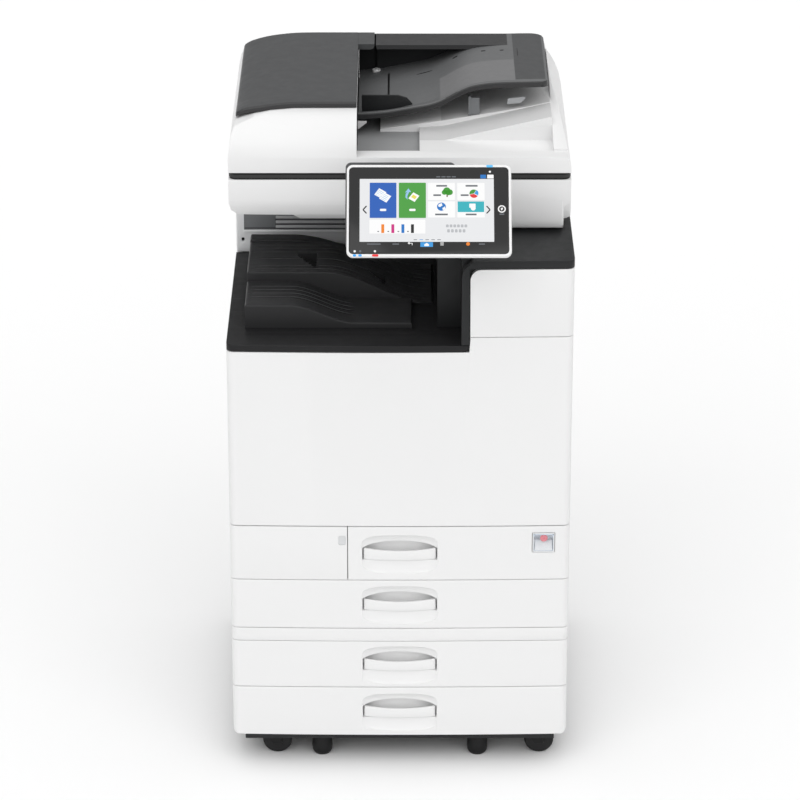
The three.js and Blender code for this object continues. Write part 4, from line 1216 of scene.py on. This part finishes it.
def add_seam_shadows():
    """Black strips set back in the seams of the front, painted shadow that darkens the gaps."""
    levels = [DOOR_LOW[2] - 0.6] + [place(f"tray_{n}_front")[0][2] - 0.6 for n in (1, 2)]
    levels += [place(f"tray_{n}_front")[1][2] + 0.6 for n in (3, 4)]
    x = place("waste_door")[1][0] + 0.6
    boxes("front_seam_painted_shadows", "root", BLACK, 0, *[(-284, 284, -249, -236, z - 0.4, z + 0.4) for z in levels],
          (x - 0.4, x + 0.4, -253, -236, 360, 458))


def add_switch(face):
    """Power switch: a window in the drawer front, a recess with painted blue-grey shade on its walls and
    painted light on its back, a round button and a clear flap.
    """
    low, high = place("switch_housing")
    x0, x1, z0, z1 = low[0] - 1, high[0] + 1, low[2] - 1, high[2] + 1
    bm = bmesh.new()
    add_prism(bm, "y", rounded_rect(x0, z0, x1, z1, 2, 4), -270, -225)
    carve(face, bm)
    skin = copy_of("switch_housing", WHITE, 0.5)
    # Painted shade: the recess's side walls are painted blue-grey, darker than the housing.
    repaint(skin, SWITCH_WALL_SHADE, lambda x, y, z, nx, ny, nz: y > -256 and abs(ny) < 0.5 and x0 + 3 < x < x1 - 3
            and z0 + 3 < z < z1 - 3)
    # Painted light: the back of the recess is painted paler than white against the shade it lies in.
    repaint(skin, SWITCH_FLOOR_LIGHT, lambda x, y, z, nx, ny, nz: ny < -0.5 and y > -246)
    ramp = [(-239.5, 431), (-246, 429.5), (-254.6, 413.8), (-239.5, 413.8)]
    prism("switch_ramp", "root", WHITE, 0.5, "x", ramp, x0 + 4.6, x1 - 4.6)
    copy_of("switch_flap", CLEAR, 0.3)
    ends = [(x, x + 2.8, -257.6, -255.2, z1 - 6.4, z1 - 2.2) for x in (x0 + 2.2, x1 - 5)]
    # The flap's pivots carry the walls' painted blue-grey shade.
    boxes("switch_flap_pivots", "switch_flap", SWITCH_WALL_SHADE, 0.3,
          (x0 + 2.6, x1 - 2.6, -257.6, -255.4, z1 - 3.4, z1 - 2.2), *ends)
    (bx0, by0, bz0), (bx1, by1, bz1) = place("power_button")
    r = (bx1 - bx0) / 2
    bm = bmesh.new()
    tip = by0 - 6.6
    cap = [(2, by1), (2, tip + 1.8), (r, tip + 1.6), (r, tip + 0.8), (r - 0.6, tip + 0.2), (r - 1.4, tip),
           (r * 0.5, tip + 0.3), (0, tip + 0.5)]
    spun(bm, "y", ((bx0 + bx1) / 2, 0, (bz0 + bz1) / 2), cap)
    finished("power_button_cap", bm, "power_button", PINK, "power_button")


add_camera()
add_stage()
add_front_door()
add_column_panel()
add_waste_door()
add_switch(add_drawer_front(1))
for tray_number in (2, 3, 4):
    add_drawer_front(tray_number, 10.0 if tray_number == 4 else 0.0)
add_seam_shadows()
add_base_details()
add_side_details()
add_panel()
add_exit_tray()
add_exit_deck()
add_feeder_base()
add_feed_cover()
add_input_tray()
copy_of("adf_guide_front", DARK, 1.0)
add_scanner_frame()
add_scanner()
add_back_cover()
add_toner_details()

SIMPLE = {
    "base_plate": (DARK, 0.8), "bank_cabinet": (WHITE, 0.25), "main_cabinet": (GALVANISED, 0.3),
    "left_cover": (WHITE, 1.5), "right_cover": (WHITE, 1.5), "power_inlet": (BLACK, 0.4),
    "right_door": (WHITE, 1.2), "bypass_tray": (WHITE, 1.2), "deck_cover": (DARK, 1.6),
    "exit_roller": (RUBBER, 0.5), "transfer_belt_unit": (BLACK, 1.0), "drum_unit": (DARK, 1.0),
    "fuser_unit": (DARK, 1.0), "waste_bottle": (LIGHT_GREY, 2.0), "contact_glass": (SCANNER_GLASS, 0.3),
    "scan_carriage": (BLACK, 1.0), "adf_hinge": (STEEL, 0.6), "platen_pad": (WHITE, 1.5),
    "adf_pickup_roller": (RUBBER, 0.5), "panel_arm": (LIGHT_GREY, 1.5),
}
for node_name in NODES:
    if node_name in FINISHED:
        continue
    if node_name in SIMPLE:
        finish, edge = SIMPLE[node_name]
    elif node_name.endswith("_wheel"):
        finish, edge = RUBBER, 0.8
    elif "fork" in node_name or node_name.startswith("foot"):
        finish, edge = BLACK, 0.8
    elif node_name.endswith("_box"):
        finish, edge = LIGHT_GREY, 0.4
    else:
        finish, edge = WHITE, 1.0
    skin = copy_of(node_name, finish, edge)
    # Painted shade: faces of the deck cover turned to the left, the bay's inner right wall, are painted black
    # for the deep shade there.
    if node_name == "deck_cover":
        repaint(skin, BLACK, lambda x, y, z, nx, ny, nz: nx < -0.5)
